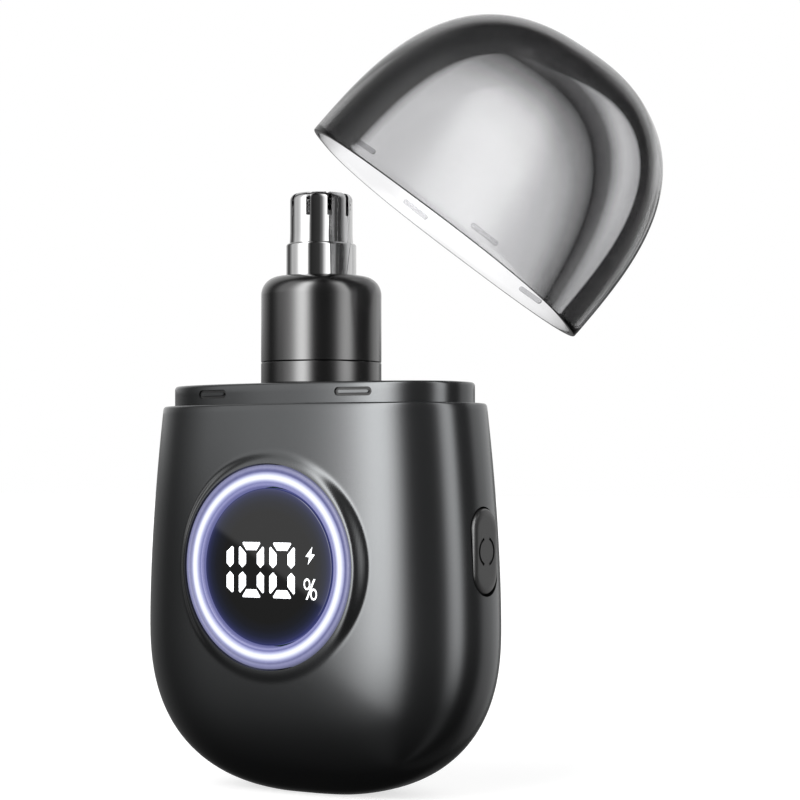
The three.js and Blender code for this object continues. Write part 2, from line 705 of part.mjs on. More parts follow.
function batteryCell() {
  const half = CELL_LENGTH / 2;
  return lying([
    [0, -half],
    [CELL_RADIUS - 0.4, -half],
    [CELL_RADIUS, -half + 0.4],
    [CELL_RADIUS, half - 0.4],
    [CELL_RADIUS - 0.4, half],
    [1.6, half],
    [1.6, half + 0.7],
    [0, half + 0.7],
  ]);
}

function batteryTab(side) {
  const half = CELL_LENGTH / 2;
  const at = side > 0 ? half + 1.0 : -half - 0.4;
  return block(0.25, 3, 7, at - 1, CELL_Y, CELL_Z);
}

function batteryPad() {
  return cut(
    block(18, 5, 2.4, -1, CELL_Y - 1, CELL_Z - CELL_RADIUS - 0.2),
    lying([[0, -15], [CELL_RADIUS + 0.1, -15], [CELL_RADIUS + 0.1, 15], [0, 15]]),
  );
}

// A pill lying level in the back wall, from y0 to y1.
function backPill(length, height, y0, y1) {
  const pill = raised(stadium(length, height), y1 - y0).rotateX(-Math.PI / 2);
  return solid(pill.translate(0, y0, PORT_Z));
}

function portShell() {
  return cut(
    backPill(PORT_WIDTH, PORT_HEIGHT, PORT_MOUTH_Y - PORT_DEPTH, PORT_MOUTH_Y),
    backPill(PORT_WIDTH - 0.6, PORT_HEIGHT - 0.6, PORT_MOUTH_Y - PORT_DEPTH + 0.4, PORT_MOUTH_Y + 1),
  );
}

function portTongue() {
  return block(6.6, 4.6, 0.7, 0, PORT_MOUTH_Y - PORT_DEPTH + 2.8, PORT_Z);
}

const CHARGE_BOARD_Z = PORT_Z - PORT_HEIGHT / 2 - 0.55;

function chargeBoard() {
  return block(16, 10.5, 0.8, 0, 0.2, CHARGE_BOARD_Z);
}

function chargeChip() {
  return block(3, 3, 0.9, -1.5, -2.6, CHARGE_BOARD_Z + 0.95);
}

// ---------------------------------------------------------------- pieces: leads
const LEAD_RADIUS = 0.45;
const LEAD_Y = CELL_Y - CELL_RADIUS - 1.2;

// From a motor terminal down to the control board's back.
function motorLead(side) {
  const top = MOTOR_BOTTOM_Z - 4.2;
  return wire(
    [
      [side * 3.6, 0, top],
      [side * 3.6, -1.2, top - 1.6],
      [side * 4.2, -3.4, top - 1.2],
      [side * 4.6, -6.9, top - 1.5],
    ],
    LEAD_RADIUS,
  );
}

// From a cell tab round the end of the cell and down to the charging board.
function batteryLead(side) {
  const end = side * (CELL_LENGTH / 2 + 1.6) - 1;
  return wire(
    [
      [end, CELL_Y - 2, CELL_Z + 1],
      [end, CELL_Y - 5, CELL_Z - 1],
      [end - side * 2.4, LEAD_Y - 0.6, CELL_Z - 5],
      [side * 7, LEAD_Y, CHARGE_BOARD_Z + 1.2],
    ],
    LEAD_RADIUS,
  );
}

// ---------------------------------------------------------------- assembly
const group = new THREE.Group();
group.name = "nose_hair_trimmer";

function add(name, shape, material, place = (geometry) => geometry) {
  const mesh = new THREE.Mesh(place(geometryOf(shape)), MATERIALS[material].clone());
  mesh.name = name;
  group.add(mesh);
}

add("outer_housing", outerHousing(), "gunmetal");
add("top_deck", topDeck(), "gunmetal");
add("deck_seal", deckSeal(), "rubber");
add("neck_base", neckBase(), "blackPlastic");
add("neck_cover", neckCover(), "blackPlastic");
add("outer_cutter", outerCutter(), "chrome");
add("blade_hub", bladeHub(), "whitePlastic");
add("inner_blade", innerBlade(), "steel");
add("blade_spring", bladeSpring(), "steel");
add("motor_can", motorCan(), "steel");
add("motor_end_cap", motorEndCap(), "whitePlastic");
add("motor_shaft", rod(SHAFT_RADIUS, MOTOR_TOP_Z - 4, HUB_BOTTOM_Z + 2.8, 14), "steel");
add("motor_screw_left", motorScrew(-1), "steel");
add("motor_screw_right", motorScrew(1), "steel");
add("cap", seatedCap(), "smoked", swungOff);
add("halo_ring", haloRing(), "halo");
add("display_lens", displayLens(), "lens");
add("display_frame", displayFrame(), "blackPlastic");
add("display_panel", displayPanel(), "black");
add("control_board", controlBoard(), "board");
add("control_chip", controlChip(), "black");
add("power_button", powerButton(), "gunmetal");
add("button_gasket", buttonGasket(), "rubber");
add("switch_body", switchBody(), "blackPlastic");
add("switch_plunger", switchPlunger(), "whitePlastic");
add("switch_board", switchBoard(), "board");
add("battery_cell", batteryCell(), "wrap");
add("battery_tab_positive", batteryTab(1), "brass");
add("battery_tab_negative", batteryTab(-1), "brass");
add("battery_pad", batteryPad(), "rubber");
add("port_shell", portShell(), "steel");
add("port_tongue", portTongue(), "black");
add("charge_board", chargeBoard(), "board");
add("charge_chip", chargeChip(), "black");
add("motor_lead_red", motorLead(1), "red");
add("motor_lead_black", motorLead(-1), "black");
add("battery_lead_red", batteryLead(1), "red");
add("battery_lead_black", batteryLead(-1), "black");

export default group;
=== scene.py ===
import json
import math

import bmesh
import bpy
from mathutils import Matrix, Vector
from mathutils.bvhtree import BVHTree


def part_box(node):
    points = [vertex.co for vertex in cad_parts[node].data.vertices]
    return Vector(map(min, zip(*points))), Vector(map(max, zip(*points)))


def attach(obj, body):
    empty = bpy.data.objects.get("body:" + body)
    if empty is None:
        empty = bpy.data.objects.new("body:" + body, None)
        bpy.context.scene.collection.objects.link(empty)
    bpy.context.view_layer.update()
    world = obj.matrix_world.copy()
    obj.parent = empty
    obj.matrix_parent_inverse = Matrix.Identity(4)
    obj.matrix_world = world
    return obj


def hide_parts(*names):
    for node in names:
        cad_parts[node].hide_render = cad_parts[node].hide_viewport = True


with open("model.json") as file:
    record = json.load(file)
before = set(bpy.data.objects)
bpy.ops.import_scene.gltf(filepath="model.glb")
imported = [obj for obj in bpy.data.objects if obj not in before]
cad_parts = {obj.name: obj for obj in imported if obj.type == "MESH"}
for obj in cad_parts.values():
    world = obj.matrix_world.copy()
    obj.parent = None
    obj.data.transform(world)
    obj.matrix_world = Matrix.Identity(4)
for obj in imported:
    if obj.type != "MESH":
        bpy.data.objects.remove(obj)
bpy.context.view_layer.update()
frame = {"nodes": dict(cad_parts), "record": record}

RECORD = frame["record"]
MM = 0.001

# ---------------------------------------------------------------- camera
CAMERA_AZIMUTH = math.radians(33.4)
CAMERA_DISTANCE = 0.291
CAMERA_ASIDE = 0.00955
CAMERA_HEIGHT = 0.0382
CAMERA_PITCH = math.radians(1.742)
CAMERA_LENS = 108

TO_CAMERA = Vector((math.sin(CAMERA_AZIMUTH), -math.cos(CAMERA_AZIMUTH), 0))
TO_RIGHT = Vector((math.cos(CAMERA_AZIMUTH), math.sin(CAMERA_AZIMUTH), 0))

camera = bpy.data.objects.new("camera", bpy.data.cameras.new("camera"))
camera.data.lens = CAMERA_LENS
camera.data.sensor_width = 36
camera.data.clip_start = 0.01
camera.location = TO_CAMERA * CAMERA_DISTANCE + TO_RIGHT * CAMERA_ASIDE + Vector((0, 0, CAMERA_HEIGHT))
camera.rotation_euler = (math.pi / 2 + CAMERA_PITCH, 0, CAMERA_AZIMUTH)
bpy.context.collection.objects.link(camera)
bpy.context.scene.camera = camera
bpy.context.scene.view_settings.view_transform = "Standard"


# ---------------------------------------------------------------- sizes, from the CAD
def box(node):
    low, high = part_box(node)
    return [v / MM for v in low], [v / MM for v in high]


HOUSING_LOW, HOUSING_HIGH = box("outer_housing")
DECK_LOW, DECK_HIGH = box("top_deck")
HALF_WIDTH = HOUSING_HIGH[0]
HALF_DEPTH = HOUSING_HIGH[1]
SHOULDER_Z = HOUSING_HIGH[2]
DISPLAY_FRONT = -HOUSING_LOW[1]
COLLAR_A, COLLAR_B, DECK_TOP_Z = DECK_HIGH
LENS_LOW, LENS_HIGH = box("display_lens")
LENS_RADIUS = LENS_HIGH[0]
LENS_FRONT = -LENS_LOW[1]
DISPLAY_Z = (LENS_LOW[2] + LENS_HIGH[2]) / 2
HALO_RADIUS = box("halo_ring")[1][0]
COVER_LOW, COVER_HIGH = box("neck_cover")
BASE_LOW, BASE_HIGH = box("neck_base")
CUTTER_LOW, CUTTER_HIGH = box("outer_cutter")
NECK_RADIUS = COVER_HIGH[0]
RING_RADIUS = CUTTER_HIGH[0]
BUTTON_LOW, BUTTON_HIGH = box("power_button")
BUTTON_Z = (BUTTON_LOW[2] + BUTTON_HIGH[2]) / 2
BUTTON_LENGTH = BUTTON_HIGH[2] - BUTTON_LOW[2]
BUTTON_WIDTH = BUTTON_HIGH[1] - BUTTON_LOW[1]
BUTTON_GAP = 0.22
PORT_LOW, PORT_HIGH = box("port_shell")

SECTION_POWER = 2.6
BELLY_Z = 20.4
BOTTOM_DEPTH = 20.7  # from the belly to the form's lowest point, below the flat base
BOTTOM_POWER = 2.5
SHOULDER_NARROWING = 0.077
SHOULDER_POWER = 1.75
WALL = 1.22
FLOOR_THICKNESS = 1.7
RIM_ROUND = 0.3
SHOULDER_A = HALF_WIDTH * (1 - SHOULDER_NARROWING)
SHOULDER_B = HALF_DEPTH * (1 - SHOULDER_NARROWING)
CATCH_X = 10.3
CATCH_LEVEL = 1.3
FLANK_STEPS = 34
BACK_STEPS = 110
BOSS_REACH = 15  # how far the fine mesh round the display goes
FINE_STEP = 0.24


# ---------------------------------------------------------------- mesh helpers, in millimetres
def new_object(name, verts, faces):
    mesh = bpy.data.meshes.new(name)
    mesh.from_pydata([Vector(v) * MM for v in verts], [], faces)
    shape = bmesh.new()
    shape.from_mesh(mesh)
    bmesh.ops.remove_doubles(shape, verts=shape.verts, dist=1e-8)
    bmesh.ops.recalc_face_normals(shape, faces=shape.faces)
    shape.to_mesh(mesh)
    shape.free()
    made = bpy.data.objects.new(name, mesh)
    bpy.context.collection.objects.link(made)
    return made


def rings_object(name, rings, closed=False):
    """A body through rings of points. Single points at the ends close it to a pole."""
    verts, starts = [], []
    for ring in rings:
        starts.append((len(verts), len(ring)))
        verts.extend(ring)
    faces = []
    pairs = list(zip(starts, starts[1:])) + ([(starts[-1], starts[0])] if closed else [])
    for (a, count_a), (b, count_b) in pairs:
        count = max(count_a, count_b)
        for i in range(count):
            j = (i + 1) % count
            if count_a == 1:
                faces.append((a, b + i, b + j))
            elif count_b == 1:
                faces.append((a + i, b, a + j))
            else:
                faces.append((a + i, b + i, b + j, a + j))
    if not closed:
        for start, count in (starts[0], starts[-1]):
            if count > 1:
                faces.append(tuple(range(start, start + count)))
    return new_object(name, verts, faces)


def even_turn(count):
    return [2 * math.pi * i / count for i in range(count)]


LONG_RUN = 0.4
SUPPORT_DISTANCE = 0.03


def supported(profile, closed):
    """Adds points close to the ends of long straight runs, so that smooth shading leaves them straight."""
    added = []
    ends = zip(profile, profile[1:] + (profile[:1] if closed else profile[-1:]))
    for (r, z), (next_r, next_z) in ends:
        added.append((r, z))
        length = math.hypot(next_r - r, next_z - z)
        if length > LONG_RUN:
            near = SUPPORT_DISTANCE / length
            for share in (near, 1 - near):
                added.append((r + (next_r - r) * share, z + (next_z - z) * share))
    return added


def lathe(name, profile, sides=128, closed=False):
    """A body turned about Z. Its profile is a list of (radius, height)."""
    rings = []
    for r, z in supported(profile, closed):
        if r < 1e-6:
            rings.append([(0, 0, z)])
        else:
            rings.append([(r * math.cos(t), r * math.sin(t), z) for t in even_turn(sides)])
    return rings_object(name, rings, closed)


def arc(r, z, radius, start, end, steps=8):
    angles = [math.radians(start + (end - start) * i / steps) for i in range(steps + 1)]
    return [(r + radius * math.cos(t), z + radius * math.sin(t)) for t in angles]


def stadium(length, height, steps=20):
    r = height / 2
    half = length / 2 - r
    return arc(half, 0, r, -90, 90, steps) + arc(-half, 0, r, 90, 270, steps)


def prism(name, outline, levels, place):
    """A body with one outline at each (depth, inset) level. place turns (u, v, depth) into x, y, z."""
    centre_u = sum(p[0] for p in outline) / len(outline)
    centre_v = sum(p[1] for p in outline) / len(outline)
    rings = []
    for depth, inset in levels:
        ring = []
        for u, v in outline:
            away = Vector((u - centre_u, v - centre_v))
            away *= max(0.0, 1 - inset / max(away.length, 1e-9))
            ring.append(place(centre_u + away.x, centre_v + away.y, depth))
        rings.append(ring)
    return rings_object(name, rings)


def join(name, objects):
    shape = bmesh.new()
    for piece in objects:
        shape.from_mesh(piece.data)
        drop(piece)
    mesh = bpy.data.meshes.new(name)
    shape.to_mesh(mesh)
    shape.free()
    made = bpy.data.objects.new(name, mesh)
    bpy.context.collection.objects.link(made)
    return made


def copy_of(piece):
    made = piece.copy()
    made.data = piece.data.copy()
    return made


def drop(piece):
    mesh = piece.data
    bpy.data.objects.remove(piece)
    bpy.data.meshes.remove(mesh)


def combine(piece, others, operation="DIFFERENCE"):
    for other in others:
        step = piece.modifiers.new("cut", "BOOLEAN")
        step.operation = operation
        step.object = other
        step.solver = "EXACT"
    ready = piece.evaluated_get(bpy.context.evaluated_depsgraph_get())
    mesh = bpy.data.meshes.new_from_object(ready)
    old = piece.data
    piece.modifiers.clear()
    piece.data = mesh
    mesh.name = piece.name
    bpy.data.meshes.remove(old)
    for other in others:
        drop(other)


def smooth(piece, angle=35, source=None):
    """Smooth shading with creases. With a source, cut faces keep the uncut surface's normals."""
    mesh = piece.data
    for face in mesh.polygons:
        face.use_smooth = True
    mesh.set_sharp_from_angle(angle=math.radians(angle))
    if source is None:
        return
    guide = source.data
    tree = BVHTree.FromPolygons([v.co for v in guide.vertices], [p.vertices for p in guide.polygons])
    corner_normals = [tuple(c.vector) for c in mesh.corner_normals]
    for face in mesh.polygons:
        for loop in face.loop_indices:
            co = mesh.vertices[mesh.loops[loop].vertex_index].co
            found, _, index, distance = tree.find_nearest(co)
            if found is None or distance > 2e-6:
                continue
            near = guide.polygons[index]
            weights = []
            total = Vector((0, 0, 0))
            for k in near.vertices:
                w = 1 / max((guide.vertices[k].co - co).length, 1e-9) ** 2
                weights.append(w)
                total += guide.vertices[k].normal * w
            total.normalize()
            if total.dot(face.normal) > 0.9:
                corner_normals[loop] = tuple(total)
    mesh.normals_split_custom_set(corner_normals)


def front_turn(reach, spacing):
    """Angles round an outline, with even steps across the middle of its front."""
    steps = round(2 * reach / spacing)
    across = [reach * (2 * i / steps - 1) for i in range(steps + 1)]
    front = [math.acos(math.copysign(abs(x / HALF_WIDTH) ** (SECTION_POWER / 2), x)) for x in across]
    first, last = 2 * math.pi - front[0], 2 * math.pi - front[-1]
    flank = [math.pi + (first - math.pi) * i / FLANK_STEPS for i in range(FLANK_STEPS)]
    back = [math.pi * i / BACK_STEPS for i in range(BACK_STEPS)]
    rest = [last + (2 * math.pi - last) * i / FLANK_STEPS for i in range(1, FLANK_STEPS)]
    return back + flank + [2 * math.pi - t for t in front] + rest


def section(a, b, z, turn=None, power=SECTION_POWER):
    ring = []
    for t in turn or EVEN:
        c, s = math.cos(t), math.sin(t)
        x = a * math.copysign(abs(c) ** (2 / power), c)
        y = b * math.copysign(abs(s) ** (2 / power), s)
        ring.append((x, y, z))
    return ring


def body_scale(z, depth=BOTTOM_DEPTH):
    if z >= BELLY_Z:
        t = (z - BELLY_Z) / (SHOULDER_Z - BELLY_Z)
        return 1 - SHOULDER_NARROWING * t**SHOULDER_POWER
    t = (BELLY_Z - z) / depth
    return max(0.0, 1 - t**BOTTOM_POWER) ** (1 / BOTTOM_POWER)


EVEN = even_turn(240)
DENSE = front_turn(BOSS_REACH * 1.1, FINE_STEP)

# the cap's turn from closed to open
swing = next(j for j in RECORD["behaviour"]["joints"] if j["name"] == "cap_swing")
SWING_POINT = Vector(swing["pos_m"])
SWING_AXIS = Vector(swing["axis"]).normalized()
SWING = (
    Matrix.Translation(SWING_POINT)
    @ Matrix.Rotation(-math.radians(swing["range_deg"][0]), 4, SWING_AXIS)
    @ Matrix.Translation(-SWING_POINT)
)


# ---------------------------------------------------------------- materials
def nodes_of(name):
    made = bpy.data.materials.new(name)
    made.use_nodes = True
    tree = made.node_tree
    return made, tree, tree.nodes["Principled BSDF"]


def add_node(tree, kind, **values):
    node = tree.nodes.new(kind)
    for key, value in values.items():
        if key.startswith("in_"):
            node.inputs[key[3:].replace("_", " ")].default_value = value
        else:
            setattr(node, key, value)
    return node


def noise(tree, scale, detail=3.0, roughness=0.5, stretch=None):
    place = add_node(tree, "ShaderNodeTexCoord")
    source = place.outputs["Object"]
    if stretch:
        mapping = add_node(tree, "ShaderNodeMapping")
        mapping.inputs["Scale"].default_value = stretch
        tree.links.new(source, mapping.inputs["Vector"])
        source = mapping.outputs["Vector"]
    node = add_node(tree, "ShaderNodeTexNoise", in_Scale=scale, in_Detail=detail, in_Roughness=roughness)
    tree.links.new(source, node.inputs["Vector"])
    return node.outputs["Fac"]


def spread(tree, source, low, high):
    node = add_node(tree, "ShaderNodeMapRange")
    node.inputs["From Min"].default_value = 0.3
    node.inputs["From Max"].default_value = 0.7
    node.inputs["To Min"].default_value = low
    node.inputs["To Max"].default_value = high
    tree.links.new(source, node.inputs["Value"])
    return node.outputs["Result"]


def shades(tree, source, dark, light):
    node = add_node(tree, "ShaderNodeValToRGB")
    node.color_ramp.elements[0].position = 0.3
    node.color_ramp.elements[0].color = (*dark, 1)
    node.color_ramp.elements[1].position = 0.7
    node.color_ramp.elements[1].color = (*light, 1)
    tree.links.new(source, node.inputs["Fac"])
    return node.outputs["Color"]


def bump(tree, shader, source, strength, distance):
    node = add_node(tree, "ShaderNodeBump", in_Strength=strength, in_Distance=distance)
    tree.links.new(source, node.inputs["Height"])
    tree.links.new(node.outputs["Normal"], shader.inputs["Normal"])


def combined(tree, operation, one, two):
    node = add_node(tree, "ShaderNodeVectorMath", operation=operation)
    tree.links.new(one, node.inputs[0])
    tree.links.new(two, node.inputs[1])
    return node.outputs["Vector"]


def blend_values(tree, operation, one, two):
    node = add_node(tree, "ShaderNodeMath", operation=operation)
    for socket, value in zip(node.inputs, (one, two)):
        if isinstance(value, (int, float)):
            socket.default_value = value
        else:
            tree.links.new(value, socket)
    return node.outputs[0]


def mixed(tree, factor, one, two):
    node = add_node(tree, "ShaderNodeMix", data_type="RGBA")
    sockets = [n for n in node.inputs if n.type == "RGBA"]
    tree.links.new(factor, node.inputs[0])
    for socket, value in zip(sockets, (one, two)):
        if isinstance(value, tuple):
            socket.default_value = value
        else:
            tree.links.new(value, socket)
    return [n for n in node.outputs if n.type == "RGBA"][0]


def step_up(tree, source, low, high, least=0.0):
    node = add_node(tree, "ShaderNodeMapRange", interpolation_type="SMOOTHSTEP")
    node.inputs["From Min"].default_value = low
    node.inputs["From Max"].default_value = high
    node.inputs["To Min"].default_value = least
    tree.links.new(source, node.inputs["Value"])
    return node.outputs["Result"]


def set_ramp(node, stops):
    elements = node.color_ramp.elements
    for stop in stops[1:-1]:
        elements.new(stop[0])
    for element, (position, colour) in zip(elements, stops):
        element.position = position
        element.color = (*colour, 1)


def paint_bottom_shade(tree, colour, low, high, least):
    """Darkens a colour towards the bottom of the object: painted shade for the lower body, which the lights
    leave dark.
    """
    place = add_node(tree, "ShaderNodeTexCoord")
    axes = add_node(tree, "ShaderNodeSeparateXYZ")
    tree.links.new(place.outputs["Object"], axes.inputs[0])
    level = step_up(tree, axes.outputs["Z"], low * MM, high * MM, least)
    return combined(tree, "MULTIPLY", colour, level)


def surface(name, dark, light, rough, metallic, grain=4000, depth=2e-6, strength=0.3, stretch=None, bottom_shade=None):
    made, tree, shader = nodes_of(name)
    fine = noise(tree, grain, stretch=stretch)
    broad = noise(tree, 90, detail=2.0)
    colour = shades(tree, fine, dark, light)
    # painted shade: the colour darkens towards the bottom of the object
    if bottom_shade:
        colour = paint_bottom_shade(tree, colour, *bottom_shade)
    tree.links.new(colour, shader.inputs["Base Color"])
    tree.links.new(spread(tree, broad, rough[0], rough[1]), shader.inputs["Roughness"])
    bump(tree, shader, fine, strength, depth)
    shader.inputs["Metallic"].default_value = metallic
    return made


def grey(value, warm=0.0):
    return (value * (1 + warm), value, value * (1 - warm))


MATERIALS = {
    # the coating is painted darker towards the bottom, painted shade for the lower body
    "gunmetal_coating": surface(
        "gunmetal_coating", (0.085, 0.087, 0.089), (0.092, 0.095, 0.097), (0.2, 0.22), 0.9, grain=9000,
        depth=1e-6, strength=0.1, bottom_shade=(1, 12, 0.5),
    ),
    "button_coating": surface(
        "button_coating", grey(0.07), grey(0.08), (0.28, 0.32), 0.8, grain=9000, depth=1e-6, strength=0.1
    ),
    "black_satin": surface(
        "black_satin", grey(0.096), grey(0.102), (0.2, 0.22), 1.0, grain=9000, depth=1e-6, strength=0.1
    ),
    "dark_chrome": surface(
        "dark_chrome", grey(0.36), grey(0.4), (0.05, 0.07), 1.0, grain=1500, depth=5e-7, strength=0.1,
        stretch=(1, 1, 0.06),
    ),
    "bright_steel": surface("bright_steel", grey(0.5), grey(0.6), (0.2, 0.3), 1.0, stretch=(1, 1, 0.1)),
    "stamped_steel": surface("stamped_steel", grey(0.4), grey(0.48), (0.28, 0.36), 1.0),
    "white_plastic": surface("white_plastic", grey(0.68, 0.02), grey(0.74, 0.02), (0.4, 0.5), 0.0),
    "rubber_black": surface("rubber_black", grey(0.012), grey(0.02), (0.65, 0.8), 0.0, depth=1e-5),
    "circuit_green": surface("circuit_green", (0.01, 0.08, 0.03), (0.02, 0.12, 0.05), (0.3, 0.45), 0.0),
    "black_part": surface("black_part", grey(0.01), grey(0.016), (0.4, 0.55), 0.0),
    "cell_wrap": surface("cell_wrap", (0.02, 0.09, 0.32), (0.03, 0.12, 0.4), (0.25, 0.4), 0.0, grain=900),
    "brass_tab": surface("brass_tab", (0.5, 0.36, 0.1), (0.62, 0.46, 0.16), (0.25, 0.4), 1.0),
    "lead_red": surface("lead_red", (0.4, 0.015, 0.01), (0.5, 0.02, 0.015), (0.4, 0.55), 0.0),
    "lead_black": surface("lead_black", grey(0.008), grey(0.012), (0.4, 0.55), 0.0),
}


CHROME_LEAN = 12


def lean_polish(made, degrees_round):
    """Turns a polish's highlights round the upright axis."""
    tree = made.node_tree
    lean = add_node(tree, "ShaderNodeVectorRotate", rotation_type="Z_AXIS")
    lean.inputs["Angle"].default_value = math.radians(degrees_round)
    tree.links.new(add_node(tree, "ShaderNodeNewGeometry").outputs["Normal"], lean.inputs["Vector"])
    relief = next(node for node in tree.nodes if node.bl_idname == "ShaderNodeBump")
    tree.links.new(lean.outputs[0], relief.inputs["Normal"])


lean_polish(MATERIALS["dark_chrome"], CHROME_LEAN)

# how much light the cap's outside lets through, by the slant at which it is seen: partly the tint's longer
# path, partly painted shade for the dark rim that refraction in the thick plastic shows
CAP_EDGE = [(0.0, 0.56), (0.265, 0.56), (0.3, 0.05), (0.55, 0.05), (0.66, 0.2), (0.85, 0.28), (1.0, 0.02)]
# and by its distance in millimetres from a soft dark band beside each end, which leans by CAP_BAND_LEAN
# and lies CAP_BAND_DEPTH from the middle plane at the height CAP_BAND_LEVEL; the band is painted shade
# for the darkness that refraction through the cap's back wall shows
CAP_BAND_LEAN = 0.137
CAP_BAND_DEPTH = 5.8
CAP_BAND_LEVEL = 49
CAP_BAND = [(-3.0, 0.56), (-2.0, 0.5), (-1.0, 0.28), (0.0, 0.03), (1.0, 0.12), (2.2, 0.5), (3.0, 0.56)]
# the same for the cap's inside, seen from within, likewise partly painted shade
CAP_WITHIN = [(0.0, 0.98), (0.2, 0.95), (0.4, 0.7), (0.6, 0.4), (1.0, 0.25)]


def slant_shade(tree, stops):
    slant = add_node(tree, "ShaderNodeLayerWeight", in_Blend=0.5)
    ramp = add_node(tree, "ShaderNodeValToRGB")
    set_ramp(ramp, [(at, grey(value * value)) for at, value in stops])
    tree.links.new(slant.outputs["Facing"], ramp.inputs["Fac"])
    return ramp.outputs["Color"]


def painted_end_shade(tree):
    """The soft dark band that runs down the cap beside each end, measured along the closed cap's axes:
    painted shade fixed on the plastic, for the darkness that the back wall's refraction shows.
    """
    place = add_node(tree, "ShaderNodeTexCoord")
    closed = SWING.inverted()
    local = []
    for axis in (1, 2):
        along = add_node(tree, "ShaderNodeVectorMath", operation="DOT_PRODUCT")
        along.inputs[1].default_value = closed[axis].to_3d()
        tree.links.new(place.outputs["Object"], along.inputs[0])
        local.append(blend_values(tree, "ADD", along.outputs["Value"], closed[axis][3]))
    depth = blend_values(tree, "ABSOLUTE", local[0], 0)
    rise = blend_values(tree, "MULTIPLY", local[1], CAP_BAND_LEAN)
    offset = blend_values(tree, "SUBTRACT", rise, depth)
    middle = CAP_BAND_LEAN * CAP_BAND_LEVEL - CAP_BAND_DEPTH
    first, last = CAP_BAND[0][0], CAP_BAND[-1][0]
    reach = add_node(tree, "ShaderNodeMapRange")
    reach.inputs["From Min"].default_value = (first + middle) * MM
    reach.inputs["From Max"].default_value = (last + middle) * MM
    tree.links.new(offset, reach.inputs["Value"])
    band = add_node(tree, "ShaderNodeValToRGB")
    set_ramp(band, [((at - first) / (last - first), grey(value * value)) for at, value in CAP_BAND])
    tree.links.new(reach.outputs["Result"], band.inputs["Fac"])
    return band.outputs["Color"]


SMOKED_IOR = 1.33
SMOKED_GLOSS = 0.2


def smoked(name, side=None, least=(0.95, 0.95, 0.96)):
    """Clear smoked plastic. Its outside darkens at a slant and beside the ends, its inside at a slant:
    painted shade for the dark rims and bands that refraction in the thick plastic shows, over some real
    darkening of the tint along a slanting path.
    """
    made, tree, shader = nodes_of(name)
    tint = shades(tree, noise(tree, 60), least, tuple(value + 0.04 for value in least))
    if side == "outside":
        shade = combined(tree, "MINIMUM", slant_shade(tree, CAP_EDGE), painted_end_shade(tree))
    if side == "inside":
        shade = slant_shade(tree, CAP_WITHIN)
    if side:
        leaving = add_node(tree, "ShaderNodeNewGeometry").outputs["Backfacing"]
        tint = combined(tree, "MULTIPLY", tint, mixed(tree, leaving, shade, (1, 1, 1, 1)))
    tree.links.new(tint, shader.inputs["Base Color"])
    shader.inputs["Roughness"].default_value = 0.0
    shader.inputs["Transmission Weight"].default_value = 1.0
    shader.inputs["Specular IOR Level"].default_value = SMOKED_GLOSS
    shader.inputs["IOR"].default_value = SMOKED_IOR
    return made


def by_radius(tree, inner, outer, stops):
    """Colours that follow the distance from the display's axis, in millimetres."""
    place = add_node(tree, "ShaderNodeTexCoord")
    shift = add_node(tree, "ShaderNodeVectorMath", operation="SUBTRACT")
    shift.inputs[1].default_value = (0, 0, DISPLAY_Z * MM)
    flat = add_node(tree, "ShaderNodeVectorMath", operation="MULTIPLY")
    flat.inputs[1].default_value = (1, 0, 1)
    length = add_node(tree, "ShaderNodeVectorMath", operation="LENGTH")
    reach = add_node(tree, "ShaderNodeMapRange")
    reach.inputs["From Min"].default_value = inner * MM
    reach.inputs["From Max"].default_value = outer * MM
    ramp = add_node(tree, "ShaderNodeValToRGB")
    set_ramp(ramp, [((r - inner) / (outer - inner), colour) for r, colour in stops])
    tree.links.new(place.outputs["Object"], shift.inputs[0])
    tree.links.new(shift.outputs["Vector"], flat.inputs[0])
    tree.links.new(flat.outputs["Vector"], length.inputs[0])
    tree.links.new(length.outputs["Value"], reach.inputs["Value"])
    tree.links.new(reach.outputs["Result"], ramp.inputs["Fac"])
    return ramp.outputs["Color"]


def halo_light():
    """A frosted ring, lit white along its middle and violet towards its edges."""
    made, tree, shader = nodes_of("halo_light")
    glow = by_radius(tree, 9.2, 12.2, [
        (9.3, (0.06, 0.067, 0.19)), (9.6, (0.25, 0.255, 0.51)), (9.85, (0.14, 0.15, 0.37)),
        (10.1, (0.46, 0.48, 0.75)), (10.3, (0.83, 0.87, 0.97)), (10.5, (1.1, 1.1, 1.15)),
        (10.75, (0.83, 0.87, 0.97)), (10.95, (0.46, 0.48, 0.71)), (11.15, (0.17, 0.18, 0.38)),
        (11.3, (0.084, 0.089, 0.23)), (11.55, (0.195, 0.2, 0.38)), (11.75, (0.18, 0.185, 0.34)),
        (11.95, (0.15, 0.156, 0.26)), (12.1, (0.054, 0.058, 0.11)),
    ])
    tree.links.new(glow, shader.inputs["Emission Color"])
    frosting = shades(tree, noise(tree, 3000), (0.03, 0.03, 0.05), (0.05, 0.05, 0.07))
    tree.links.new(frosting, shader.inputs["Base Color"])
    shader.inputs["Emission Strength"].default_value = 0.95
    shader.inputs["Roughness"].default_value = 0.4
    return made


def black_glass():
    """The dark window, with the ring's light spilling in at its edge painted on as a glow that follows the
    radius.
    """
    made, tree, shader = nodes_of("black_glass")
    # painted light: the ring's spill on the window is an emission colour by distance from the axis
    painted_ring_glow = by_radius(tree, 6.5, 9.3, [
        (6.5, (0, 0, 0)), (7.6, (0.0008, 0.002, 0.008)), (8.3, (0.004, 0.007, 0.026)),
        (8.8, (0.012, 0.016, 0.062)), (9.2, (0.03, 0.036, 0.13)),
    ])
    tree.links.new(painted_ring_glow, shader.inputs["Emission Color"])
    tree.links.new(shades(tree, noise(tree, 3000), grey(0.001), grey(0.0014)), shader.inputs["Base Color"])
    shader.inputs["Emission Strength"].default_value = 1.0
    shader.inputs["Roughness"].default_value = 0.015
    return made


